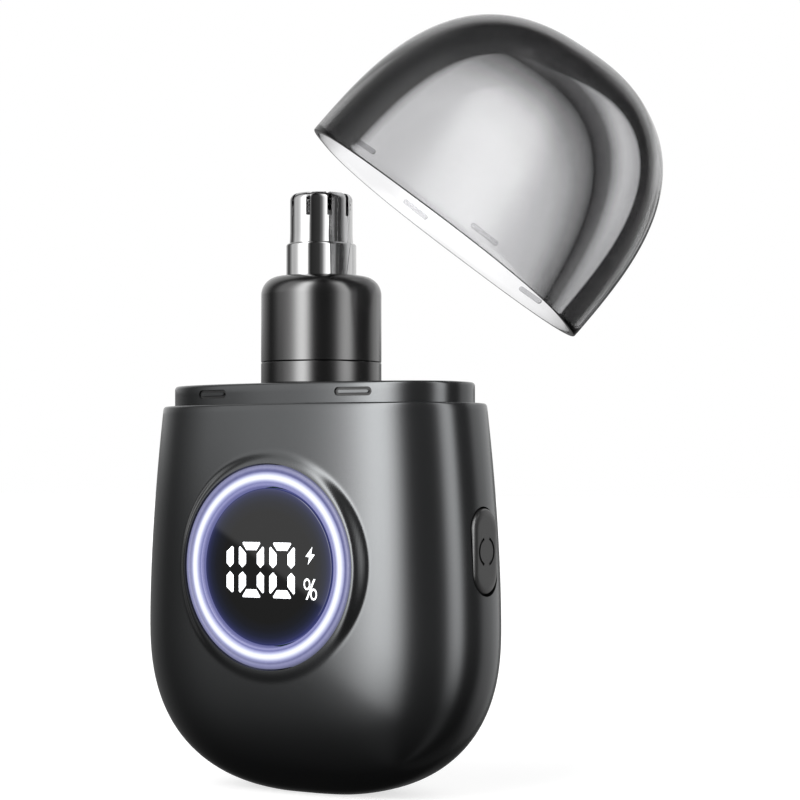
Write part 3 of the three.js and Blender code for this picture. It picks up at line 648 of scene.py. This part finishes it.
def figure_light():
    """The lit figures behind the window."""
    made, tree, shader = nodes_of("figure_light")
    tint = shades(tree, noise(tree, 2500), (0.9, 0.93, 1.0), (1.0, 1.0, 1.0))
    tree.links.new(tint, shader.inputs["Emission Color"])
    tree.links.new(tint, shader.inputs["Base Color"])
    shader.inputs["Emission Strength"].default_value = 1.05
    return made


# the cap's outside and inside are darkened by painted shade at a slant, the outside also in a band beside
# each end
MATERIALS["smoked_clear"] = smoked("smoked_clear", "outside")
MATERIALS["smoked_inside_painted_shade"] = smoked("smoked_inside_painted_shade", "inside")
MATERIALS["smoked_rib"] = smoked("smoked_rib", least=(0.55, 0.55, 0.56))
MATERIALS["halo_light"] = halo_light()
MATERIALS["black_glass"] = black_glass()
MATERIALS["figure_light"] = figure_light()


def dress(piece, material, body, replaced=()):
    piece.data.materials.clear()
    piece.data.materials.append(MATERIALS[material])
    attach(piece, body)
    if replaced:
        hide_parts(*replaced)
    return piece


# ---------------------------------------------------------------- housing
BOSS_EDGE = 12.2
BOSS_FALL = 1.5


def with_boss(point):
    """The display's boss stands out of the front face and runs down into it in an even curve."""
    x, y, z = point
    if y > 0:
        return point
    share = min(1.0, max(0.0, (math.hypot(x, z - DISPLAY_Z) - BOSS_EDGE) / BOSS_FALL))
    share = share * share * (3 - 2 * share)
    front = DISPLAY_FRONT if share < 1 else 0
    return (x, -max(-y, front * (1 - share) - y * share), z)


def housing_levels(low, below=64, fine=FINE_STEP):
    """Heights of the rings, evenly close together over the display's boss."""
    start, end = DISPLAY_Z - BOSS_REACH, DISPLAY_Z + BOSS_REACH
    lower = [low + (start - low) * math.sin(math.pi / 2 * i / below) ** 1.6 for i in range(below)]
    steps = round((end - start) / fine)
    middle = [start + (end - start) * i / steps for i in range(steps + 1)]
    top = SHOULDER_Z - RIM_ROUND
    return lower + middle + [end + (top - end) * i / 6 for i in range(1, 7)]


def housing_outer():
    rings = []
    for z in housing_levels(0):
        scale = body_scale(z)
        rings.append([with_boss(p) for p in section(HALF_WIDTH * scale, HALF_DEPTH * scale, z, DENSE)])
    return rings


def housing_solid(name):
    rings = housing_outer()
    for angle in (30, 60, 90):
        inset = RIM_ROUND * (1 - math.cos(math.radians(angle)))
        level = SHOULDER_Z - RIM_ROUND + RIM_ROUND * math.sin(math.radians(angle))
        rings.append(section(SHOULDER_A - inset, SHOULDER_B - inset, level, DENSE))
    inner_a, inner_b = SHOULDER_A - WALL, SHOULDER_B - WALL
    rings.append(section(inner_a, inner_b, SHOULDER_Z, DENSE))
    for z in reversed(housing_levels(FLOOR_THICKNESS, 24, 2.5)):
        if z >= BELLY_Z:
            s = body_scale(z)
            rings.append(section(HALF_WIDTH * s - WALL, HALF_DEPTH * s - WALL, z, DENSE))
        else:
            s = body_scale(z, BELLY_Z - FLOOR_THICKNESS + 0.1)
            rings.append(section((HALF_WIDTH - WALL) * s, (HALF_DEPTH - WALL) * s, z, DENSE))
    return rings_object(name, rings)


def front_disc(name, profile, sides=192, closed=False):
    """A body turned about the display's axis. Its profile is a list of (radius, distance to the front)."""
    made = lathe(name, profile, sides, closed)
    made.data.transform(Matrix.Translation((0, 0, DISPLAY_Z * MM)) @ Matrix.Rotation(math.pi / 2, 4, "X"))
    return made


def side_place(u, v, depth):
    return (depth, v, BUTTON_Z + u)


def back_place(u, v, depth):
    return (u, depth, (PORT_LOW[2] + PORT_HIGH[2]) / 2 + v)


housing = housing_solid("housing_shell")
guide = copy_of(housing)
combine(
    housing,
    [
        front_disc("display_bore", [(0, 2), (HALO_RADIUS + 0.13, 2), (HALO_RADIUS + 0.13, 14), (0, 14)]),
        prism(
            "button_bore", stadium(BUTTON_LENGTH + 2 * BUTTON_GAP, BUTTON_WIDTH + 2 * BUTTON_GAP, 28),
            [(HALF_WIDTH - 6, 0), (HALF_WIDTH + 3, 0)], side_place,
        ),
        prism(
            "port_bore", stadium(PORT_HIGH[0] - PORT_LOW[0] + 0.4, PORT_HIGH[2] - PORT_LOW[2] + 0.4),
            [(PORT_HIGH[1] - 4, 0), (HALF_DEPTH + 1, 0)], back_place,
        ),
    ],
)
smooth(housing, 30, guide)
drop(guide)
dress(housing, "gunmetal_coating", "housing", ["outer_housing"])

# ---------------------------------------------------------------- deck and collar
COLLAR_FACE = COLLAR_B * (1 - (CATCH_X / COLLAR_A) ** SECTION_POWER) ** (1 / SECTION_POWER)
COLLAR_SLOPE = math.atan(
    COLLAR_B / COLLAR_A * ((CATCH_X / COLLAR_A) / (COLLAR_FACE / COLLAR_B)) ** (SECTION_POWER - 1)
)


def at_catches(name, length, height, levels, face=COLLAR_FACE, z=SHOULDER_Z + CATCH_LEVEL):
    """One stadium-shaped body at each of the four catches, on a wall that lies `face` from the middle."""
    made = []
    for side_x, side_y in ((1, 1), (1, -1), (-1, 1), (-1, -1)):
        turn = Matrix.Rotation(-side_x * side_y * COLLAR_SLOPE, 3, "Z")
        centre = Vector((side_x * CATCH_X, side_y * face, z))

        def place(u, v, depth, turn=turn, centre=centre, side_y=side_y):
            return tuple(turn @ Vector((u, side_y * depth, v)) + centre)

        made.append(prism(f"{name}_{len(made)}", stadium(length, height, 10), levels, place))
    return made


def deck_solid(name):
    round_edge = 0.4
    low = DECK_LOW[2]
    rings = [section(COLLAR_A - 1.5, COLLAR_B - 1.5, low), section(COLLAR_A - 0.02, COLLAR_B - 0.02, low)]
    for i in range(9):
        rings.append(section(COLLAR_A, COLLAR_B, low + (DECK_TOP_Z - round_edge - low) * (i + 1) / 9))
    for angle in (18, 36, 54, 72, 90):
        inset = round_edge * (1 - math.cos(math.radians(angle)))
        level = DECK_TOP_Z - round_edge + round_edge * math.sin(math.radians(angle))
        rings.append(section(COLLAR_A - inset, COLLAR_B - inset, level))
    for inset in (0.9, 2.0, 4.0, 6.0):
        rings.append(section(COLLAR_A - inset, COLLAR_B - inset * 0.62, DECK_TOP_Z))
    rings.append(section(4.4, 3.4, DECK_TOP_Z, power=2))
    rings.append(section(4.4, 3.4, DECK_TOP_Z - 1.4, power=2))
    rings.append(section(COLLAR_A - 1.5, COLLAR_B - 1.5, DECK_TOP_Z - 1.4))
    return rings_object(name, rings, closed=True)


POCKET_LENGTH = 4.8
POCKET_HEIGHT = 1.05
BAR_LENGTH = 4.0
deck = deck_solid("collar_deck")
guide = copy_of(deck)
combine(deck, at_catches("catch_cut", POCKET_LENGTH, POCKET_HEIGHT, [(-0.45, 0), (1, 0)]))
smooth(deck, 35, guide)
drop(guide)
dress(deck, "gunmetal_coating", "housing", ["top_deck"])
bars = join("catch_bars", at_catches("bar", BAR_LENGTH, 0.36, [(-0.44, 0), (-0.1, 0), (-0.04, 0.06)]))
smooth(bars)
# painted shade: a near-black sheet at the floor of each catch pocket, behind its bar
pocket_shade = join(
    "catch_pocket_shade", at_catches("well", POCKET_LENGTH - 0.04, POCKET_HEIGHT - 0.04, [(-0.46, 0), (-0.34, 0)])
)
smooth(pocket_shade)
dress(pocket_shade, "black_part", "housing")
dress(bars, "gunmetal_coating", "housing")

# ---------------------------------------------------------------- neck and cutter
NECK_CORNER = 2.25
NECK_EDGE = 0.06
NECK_SEAM = 0.1
neck_foot = lathe(
    "neck_foot",
    [(5.2, BASE_LOW[2]), (NECK_RADIUS - 0.1, BASE_LOW[2]), (NECK_RADIUS, BASE_LOW[2] + 0.1)]
    + arc(NECK_RADIUS - NECK_EDGE, COVER_LOW[2] - NECK_SEAM - NECK_EDGE, NECK_EDGE, 0, 90, 4)
    + [(5.2, COVER_LOW[2] - NECK_SEAM)],
    160,
    closed=True,
)
smooth(neck_foot)
spigot_foot, spigot_top = BASE_LOW[2] + 0.2, BASE_HIGH[2]
spigot = lathe(
    "neck_spigot",
    [(3.0, spigot_foot), (4.85, spigot_foot), (4.85, spigot_top), (3.0, spigot_top)],
    96,
    closed=True,
)
smooth(spigot)
neck_sleeve = lathe(
    "neck_sleeve",
    [(5.9, COVER_LOW[2])]
    + arc(NECK_RADIUS - NECK_EDGE, COVER_LOW[2] + NECK_EDGE, NECK_EDGE, -90, 0, 4)
    + arc(NECK_RADIUS - NECK_CORNER, COVER_HIGH[2] - NECK_CORNER, NECK_CORNER, 0, 90, 16)
    + [(RING_RADIUS + 0.12, COVER_HIGH[2]), (RING_RADIUS + 0.12, COVER_HIGH[2] - 1.2)]
    + [(2.7, COVER_HIGH[2] - 1.2), (2.7, COVER_HIGH[2] - 2.3), (5.9, COVER_HIGH[2] - 3.2)],
    160,
    closed=True,
)
smooth(neck_sleeve)
dress(neck_foot, "black_satin", "housing", ["neck_base"])
dress(spigot, "black_satin", "housing")
dress(neck_sleeve, "black_satin", "head", ["neck_cover"])

RING_TOP_Z = COVER_HIGH[2] + 4.0
TIP_RADIUS = 3.8
TIP_CORNER = 0.85
GUARD_WALL = 0.42
SLOT_COUNT = 9
SLOT_WIDTH = 0.55
SLOT_DEPTH = 2.9
SLOT_START = 1.5
TIP_TOP_Z = CUTTER_HIGH[2]
cutter = lathe(
    "cutter_guard",
    [(3.25, CUTTER_LOW[2]), (RING_RADIUS, CUTTER_LOW[2])]
    + arc(RING_RADIUS - 0.3, RING_TOP_Z - 0.3, 0.3, 0, 90, 6)
    + [(TIP_RADIUS + 0.06, RING_TOP_Z + 0.02), (TIP_RADIUS + 0.05, RING_TOP_Z + 0.25)]
    + [(TIP_RADIUS + 0.02, RING_TOP_Z + 0.7), (TIP_RADIUS, RING_TOP_Z + 1.3), (TIP_RADIUS, RING_TOP_Z + 3.5)]
    + arc(TIP_RADIUS - TIP_CORNER, TIP_TOP_Z - TIP_CORNER, TIP_CORNER, 0, 90, 10)
    + [(1.5, TIP_TOP_Z), (0, TIP_TOP_Z), (0, TIP_TOP_Z - GUARD_WALL), (1.5, TIP_TOP_Z - GUARD_WALL)]
    + arc(TIP_RADIUS - TIP_CORNER, TIP_TOP_Z - TIP_CORNER, TIP_CORNER - GUARD_WALL, 90, 0, 6)
    + [(TIP_RADIUS - GUARD_WALL, RING_TOP_Z - 0.5)],
    144,
    closed=True,
)
guide = copy_of(cutter)
slots = []
half = SLOT_WIDTH / 2
outline = [(SLOT_START, -half), (6, -half), (6, half), (SLOT_START, half)]
for angle in even_turn(SLOT_COUNT):
    turn = Matrix.Rotation(angle, 3, "Z")
    slots.append(
        prism(
            f"slot_{len(slots)}", outline, [(TIP_TOP_Z - SLOT_DEPTH, 0), (TIP_TOP_Z + 1, 0)],
            lambda u, v, depth, turn=turn: tuple(turn @ Vector((u, v, depth))),
        )
    )
combine(cutter, slots)
smooth(cutter, 30, guide)
drop(guide)
dress(cutter, "dark_chrome", "head", ["outer_cutter"])

# ---------------------------------------------------------------- cap
CAP_HEIGHT = 28.2
CAP_SIDE_POWER = 3
CAP_CROWN_POWER = 2.45
CAP_WALL = 1.3
CAP_RIM_WALL = 0.9
CAP_TOP_WALL = 1.1
CAP_GAP = 0.1
CAP_TAPER = 9.0  # height over which the rim's wall grows to the full wall


def cap_profile(steps):
    """How high each ring lies, as a share of the cap's height, and how wide it is."""
    for i in range(1, steps):
        t = math.sin(i / steps * math.pi / 2) ** 0.9
        yield t, max(0.0, 1 - t**CAP_SIDE_POWER) ** (1 / CAP_CROWN_POWER)


def cap_solid(name):
    rim = SHOULDER_Z + CAP_GAP
    rounding = 0.18
    steps = 84
    rings = []
    for angle in (90, 60, 30):
        inset = rounding * (1 - math.cos(math.radians(angle)))
        level = rim + rounding * (1 - math.sin(math.radians(angle)))
        rings.append(section(SHOULDER_A - inset, SHOULDER_B - inset, level))
    for t, s in cap_profile(steps):
        rings.append(section(SHOULDER_A * s, SHOULDER_B * s, rim + CAP_HEIGHT * t))
    rings.append([(0, 0, rim + CAP_HEIGHT)])
    inner = CAP_HEIGHT - CAP_TOP_WALL
    rings.append([(0, 0, rim + inner)])
    for t, s in reversed(list(cap_profile(steps))):
        wall = CAP_RIM_WALL + (CAP_WALL - CAP_RIM_WALL) * min(1.0, inner * t / CAP_TAPER)
        rings.append(section((SHOULDER_A - wall) * s, (SHOULDER_B - wall) * s, rim + inner * t))
    edge = CAP_RIM_WALL - 0.15
    rings.append(section(SHOULDER_A - edge, SHOULDER_B - edge, rim))
    return rings_object(name, rings, closed=True)


cap = cap_solid("cap_shell")
smooth(cap, 50)
cap.data.transform(SWING)
dress(cap, "smoked_clear", "dust_cap", ["cap"])
cap.data.materials.append(MATERIALS["smoked_inside_painted_shade"])
INSIDE = 1
closed_axis = SWING.to_3x3() @ Vector((0, 0, 1))
middle = SWING @ Vector((0, 0, (SHOULDER_Z + CAP_HEIGHT * 0.35) * MM))
for wall in cap.data.polygons:
    away = wall.center - middle
    radial = away - closed_axis * away.dot(closed_axis) * 0.35
    if wall.normal.dot(radial) < 0:
        wall.material_index = INSIDE

CAP_RIB_LEVEL = 1.5
inner_a, inner_b = SHOULDER_A - CAP_RIM_WALL, SHOULDER_B - CAP_RIM_WALL
CAP_FACE = inner_b * (1 - (CATCH_X / inner_a) ** SECTION_POWER) ** (1 / SECTION_POWER)
rib_levels = [(0.03, 0), (-0.14, 0), (-0.2, 0.06)]
rib_z = SHOULDER_Z + CAP_GAP + CAP_RIB_LEVEL
ribs = join("cap_ribs", at_catches("rib", BAR_LENGTH, 0.62, rib_levels, CAP_FACE, rib_z))
smooth(ribs)
ribs.data.transform(SWING)
dress(ribs, "smoked_rib", "dust_cap")

# ---------------------------------------------------------------- display
halo = front_disc(
    "halo_guide",
    [(9.45, 8.6), (11.9, 8.6), (HALO_RADIUS, DISPLAY_FRONT - 0.5)]
    + [(HALO_RADIUS - 0.03, DISPLAY_FRONT - 0.2), (HALO_RADIUS - 0.2, DISPLAY_FRONT - 0.06)]
    + [(11.55, DISPLAY_FRONT)]
    + [(11.1, DISPLAY_FRONT - 0.12), (10.8, DISPLAY_FRONT + 0.02), (10.45, DISPLAY_FRONT + 0.05)]
    + [(10.1, DISPLAY_FRONT + 0.02), (9.9, DISPLAY_FRONT - 0.18), (9.7, DISPLAY_FRONT - 0.1)]
    + [(9.55, DISPLAY_FRONT - 0.16), (9.45, DISPLAY_FRONT - 0.35)],
    closed=True,
)
smooth(halo, 50)
dress(halo, "halo_light", "housing", ["halo_ring"])
lens = front_disc(
    "lens_window",
    [(0, LENS_FRONT - 1.0), (LENS_RADIUS - 0.02, LENS_FRONT - 1.0)]
    + arc(LENS_RADIUS - 0.2, LENS_FRONT - 0.2, 0.2, 0, 90, 6)
    + [(LENS_RADIUS * 0.7, LENS_FRONT), (LENS_RADIUS * 0.4, LENS_FRONT), (0, LENS_FRONT)],
)
smooth(lens, 50)
dress(lens, "black_glass", "housing", ["display_lens"])


def lens_place(u, v, depth):
    return (u, -(LENS_FRONT + depth), DISPLAY_Z + v)


FIGURE_PROUD = 0.03
FIGURE_SUNK = -0.02


def figure(outline):
    levels = [(FIGURE_SUNK, 0), (FIGURE_PROUD, 0)]
    figures.append(prism(f"figure_{len(figures)}", outline, levels, lens_place))


FIGURE_TOP = 2.86
FIGURE_BOTTOM = -3.63
ZERO_CENTRES = (-2.37, 2.1)
ONE_CENTRE = -5.51
# outlines of the strokes, from a figure's centre line and its top
CROSSBAR = [(1.2, 0.0), (1.29, -0.1), (1.25, -0.22), (0.73, -0.94)]
CROSSBAR = [(-u, v) for u, v in CROSSBAR[:1]] + CROSSBAR + [(-u, v) for u, v in CROSSBAR[:0:-1]]
UPRIGHT = [(1.62, -0.53), (1.72, -0.54), (1.83, -0.68), (1.83, -2.54), (1.32, -3.0), (0.81, -2.54)]
UPRIGHT.append((0.81, -1.36))
ONE_UPRIGHT = [(0.26, -0.53), (0.38, -0.54), (0.5, -0.68), (0.5, -2.54), (0.0, -3.0), (-0.5, -2.54)]
ONE_UPRIGHT.append((-0.5, -1.14))
BOLT = [(6.44, 2.45), (5.47, 1.3), (6.02, 1.25), (5.8, 0.37), (6.78, 1.55), (6.24, 1.6)]
PERCENT_STROKE = [(5.52, -3.68), (5.76, -3.68), (6.86, -1.28), (6.62, -1.28)]
PERCENT_RINGS = {"percent_top": (5.68, -1.89), "percent_low": (6.63, -3.06)}
figures = []
for centre in ZERO_CENTRES:
    for start, way in ((FIGURE_TOP, 1), (FIGURE_BOTTOM, -1)):
        figure([(centre + u, start + way * v) for u, v in CROSSBAR])
        for side in (1, -1):
            figure([(centre + side * u, start + way * v) for u, v in UPRIGHT])
for start, way in ((FIGURE_TOP, 1), (FIGURE_BOTTOM, -1)):
    figure([(ONE_CENTRE + u, start + way * v) for u, v in ONE_UPRIGHT])
figure(BOLT)
figure(PERCENT_STROKE)


def flat_ring(name, u, v, outer=0.68, inner=0.46, narrowing=0.68):
    """An upright oval ring on the window."""
    levels = [(outer, FIGURE_SUNK), (outer, FIGURE_PROUD), (inner, FIGURE_PROUD), (inner, FIGURE_SUNK)]
    rings = []
    for radius, depth in levels:
        across = radius * narrowing
        turn = even_turn(32)
        rings.append([lens_place(u + across * math.cos(t), v + radius * math.sin(t), depth) for t in turn])
    return rings_object(name, rings, closed=True)


figures.extend(flat_ring(name, u, v) for name, (u, v) in PERCENT_RINGS.items())
display = join("display_figures", figures)
dress(display, "figure_light", "housing")

# ---------------------------------------------------------------- power button
face = BUTTON_HIGH[0]
button = prism(
    "button_key", stadium(BUTTON_LENGTH, BUTTON_WIDTH, 28),
    [(BUTTON_LOW[0] + 1.2, 0), (face - 0.4, 0), (face - 0.18, 0.05), (face - 0.06, 0.16), (face, 0.36)]
    + [(face + 0.02, 0.9), (face + 0.02, 1.6)],
    side_place,
)
MARK_OUTER = 1.75
MARK_INNER = 1.42
MARK_DEPTH = 0.16
marks = []
for start, end in ((20, 160), (200, 340)):
    outline = arc(0, 0, MARK_OUTER, start, end, 20) + arc(0, 0, MARK_INNER, end, start, 20)
    verts = [side_place(u, v, depth) for depth in (face - MARK_DEPTH, face + 0.5) for u, v in outline]
    count = len(outline)
    half = count // 2
    faces = []
    for i in range(count):
        j = (i + 1) % count
        faces.append((i, j, count + j, count + i))
    for i in range(half - 1):
        faces.append((i, i + 1, count - 2 - i, count - 1 - i))
        faces.append((count + i, count + i + 1, 2 * count - 2 - i, 2 * count - 1 - i))
    marks.append(new_object(f"mark_{start}", verts, faces))
combine(button, marks)
smooth(button, 30)
dress(button, "button_coating", "button", ["power_button"])

# ---------------------------------------------------------------- the CAD nodes that stay
SLOT_OF = {entry["node"]: entry["material_slot"] for entry in RECORD["subparts"]}
for name, node in frame["nodes"].items():
    node.data.materials.clear()
    node.data.materials.append(MATERIALS[SLOT_OF[name]])

# ---------------------------------------------------------------- studio
world = bpy.data.worlds.new("studio")
bpy.context.scene.world = world
world.use_nodes = True
SOFTBOX_POWER = 8.0
# the softboxes' lower edge on the left rises by LOWER_EDGE_SLOPE degrees a degree, and ends at the horizon
LOWER_EDGE = (-29.35, -29.15, 0.3)
LOWER_EDGE_SLOPE = 0.74
HORIZON = (3, 3.5)
# heights in degrees between which the light grows from the floor up, and falls again towards the roof
GROWTH = (-42, 13, 0.05)
ROOF = (50, 75)
ROOF_LEAST = 0.12
# brightness of the softboxes round the object, by the angle from its front towards its right
SOFTBOXES = [
    (-180, 1.0), (-104, 1.0), (-90, 0.6), (-80, 0.12), (-72, 0.15), (-62, 0.5), (-52, 1.2), (-40, 1.2),
    (-31, 1.4), (-24, 2.1), (-18, 3.2), (-12, 5.5), (-5, 7.5), (4, 7.2), (11, 3.4), (17, 0.5), (23, 0.05),
    (34, 0.07), (52, 0.1), (62, 0.4), (74, 2.6), (83, 3.5), (92, 3.0), (100, 0.8), (108, 0.12),
    (128, 0.12), (136, 0.15), (144, 0.7), (155, 1.3), (180, 1.3),
]


def degrees(tree, source):
    node = add_node(tree, "ShaderNodeMath", operation="DEGREES")
    tree.links.new(source, node.inputs[0])
    return node.outputs[0]


def light_studio(tree):
    """Tall softboxes round the object, with a slanting lower edge on the left, before a white background."""
    place = add_node(tree, "ShaderNodeTexCoord")
    axes = add_node(tree, "ShaderNodeSeparateXYZ")
    tree.links.new(place.outputs["Generated"], axes.inputs[0])
    front = blend_values(tree, "MULTIPLY", axes.outputs["Y"], -1)
    azimuth = degrees(tree, blend_values(tree, "ARCTAN2", axes.outputs["X"], front))
    height = degrees(tree, blend_values(tree, "ARCSINE", axes.outputs["Z"], 0))
    share = add_node(tree, "ShaderNodeMapRange")
    share.inputs["From Min"].default_value = -180
    share.inputs["From Max"].default_value = 180
    tree.links.new(azimuth, share.inputs["Value"])
    boxes = add_node(tree, "ShaderNodeValToRGB")
    set_ramp(boxes, [((angle + 180) / 360, (power / SOFTBOX_POWER,) * 3) for angle, power in SOFTBOXES])
    tree.links.new(share.outputs["Result"], boxes.inputs["Fac"])
    slant = blend_values(tree, "ADD", height, blend_values(tree, "MULTIPLY", azimuth, LOWER_EDGE_SLOPE))
    edge = step_up(tree, slant, *LOWER_EDGE)
    edge = blend_values(tree, "MAXIMUM", edge, step_up(tree, height, *HORIZON))
    edge = blend_values(tree, "MULTIPLY", edge, step_up(tree, height, *GROWTH))
    roof = blend_values(tree, "SUBTRACT", 1.0, step_up(tree, height, *ROOF))
    roof = blend_values(tree, "MAXIMUM", roof, ROOF_LEAST)
    mask = blend_values(tree, "MULTIPLY", edge, roof)
    lit = combined(tree, "MULTIPLY", boxes.outputs["Color"], mask)
    studio = tree.nodes["Background"]
    studio.inputs["Strength"].default_value = SOFTBOX_POWER
    tree.links.new(lit, studio.inputs["Color"])
    white = add_node(tree, "ShaderNodeBackground", in_Strength=1.0)
    white.inputs["Color"].default_value = (1, 1, 1, 1)
    mix = add_node(tree, "ShaderNodeMixShader")
    tree.links.new(seen_directly(tree), mix.inputs[0])
    tree.links.new(studio.outputs[0], mix.inputs[1])
    tree.links.new(white.outputs[0], mix.inputs[2])
    tree.links.new(mix.outputs[0], tree.nodes["World Output"].inputs["Surface"])


def seen_directly(tree):
    """One where nothing but clear plastic stands before the background, otherwise zero."""
    path = add_node(tree, "ShaderNodeLightPath")
    bounces = blend_values(tree, "SUBTRACT", path.outputs["Ray Depth"], path.outputs["Transmission Depth"])
    straight = blend_values(tree, "LESS_THAN", bounces, 1.5)
    clear = blend_values(tree, "MULTIPLY", path.outputs["Is Transmission Ray"], straight)
    return blend_values(tree, "MAXIMUM", path.outputs["Is Camera Ray"], clear)


light_studio(world.node_tree)

floor_material, floor_tree, floor_shader = nodes_of("pale_floor")
floor_tint = shades(floor_tree, noise(floor_tree, 6), (0.5, 0.5, 0.5), (0.52, 0.52, 0.52))
floor_tree.links.new(floor_tint, floor_shader.inputs["Base Color"])
floor_shader.inputs["Roughness"].default_value = 0.9
floor_shader.inputs["Specular IOR Level"].default_value = 0.0
floor_shader.inputs["Emission Color"].default_value = (1, 1, 1, 1)
FLOOR_GLOW = 0.68
floor_shader.inputs["Emission Strength"].default_value = FLOOR_GLOW
FLOOR_REACH = 3000
corners = [(x * FLOOR_REACH, y * FLOOR_REACH, 0) for x, y in ((-1, -1), (1, -1), (1, 1), (-1, 1))]
floor = new_object("pale_floor", corners, [(0, 1, 2, 3)])
floor.data.materials.append(floor_material)
floor.visible_glossy = False
floor.visible_diffuse = False
floor.visible_shadow = False
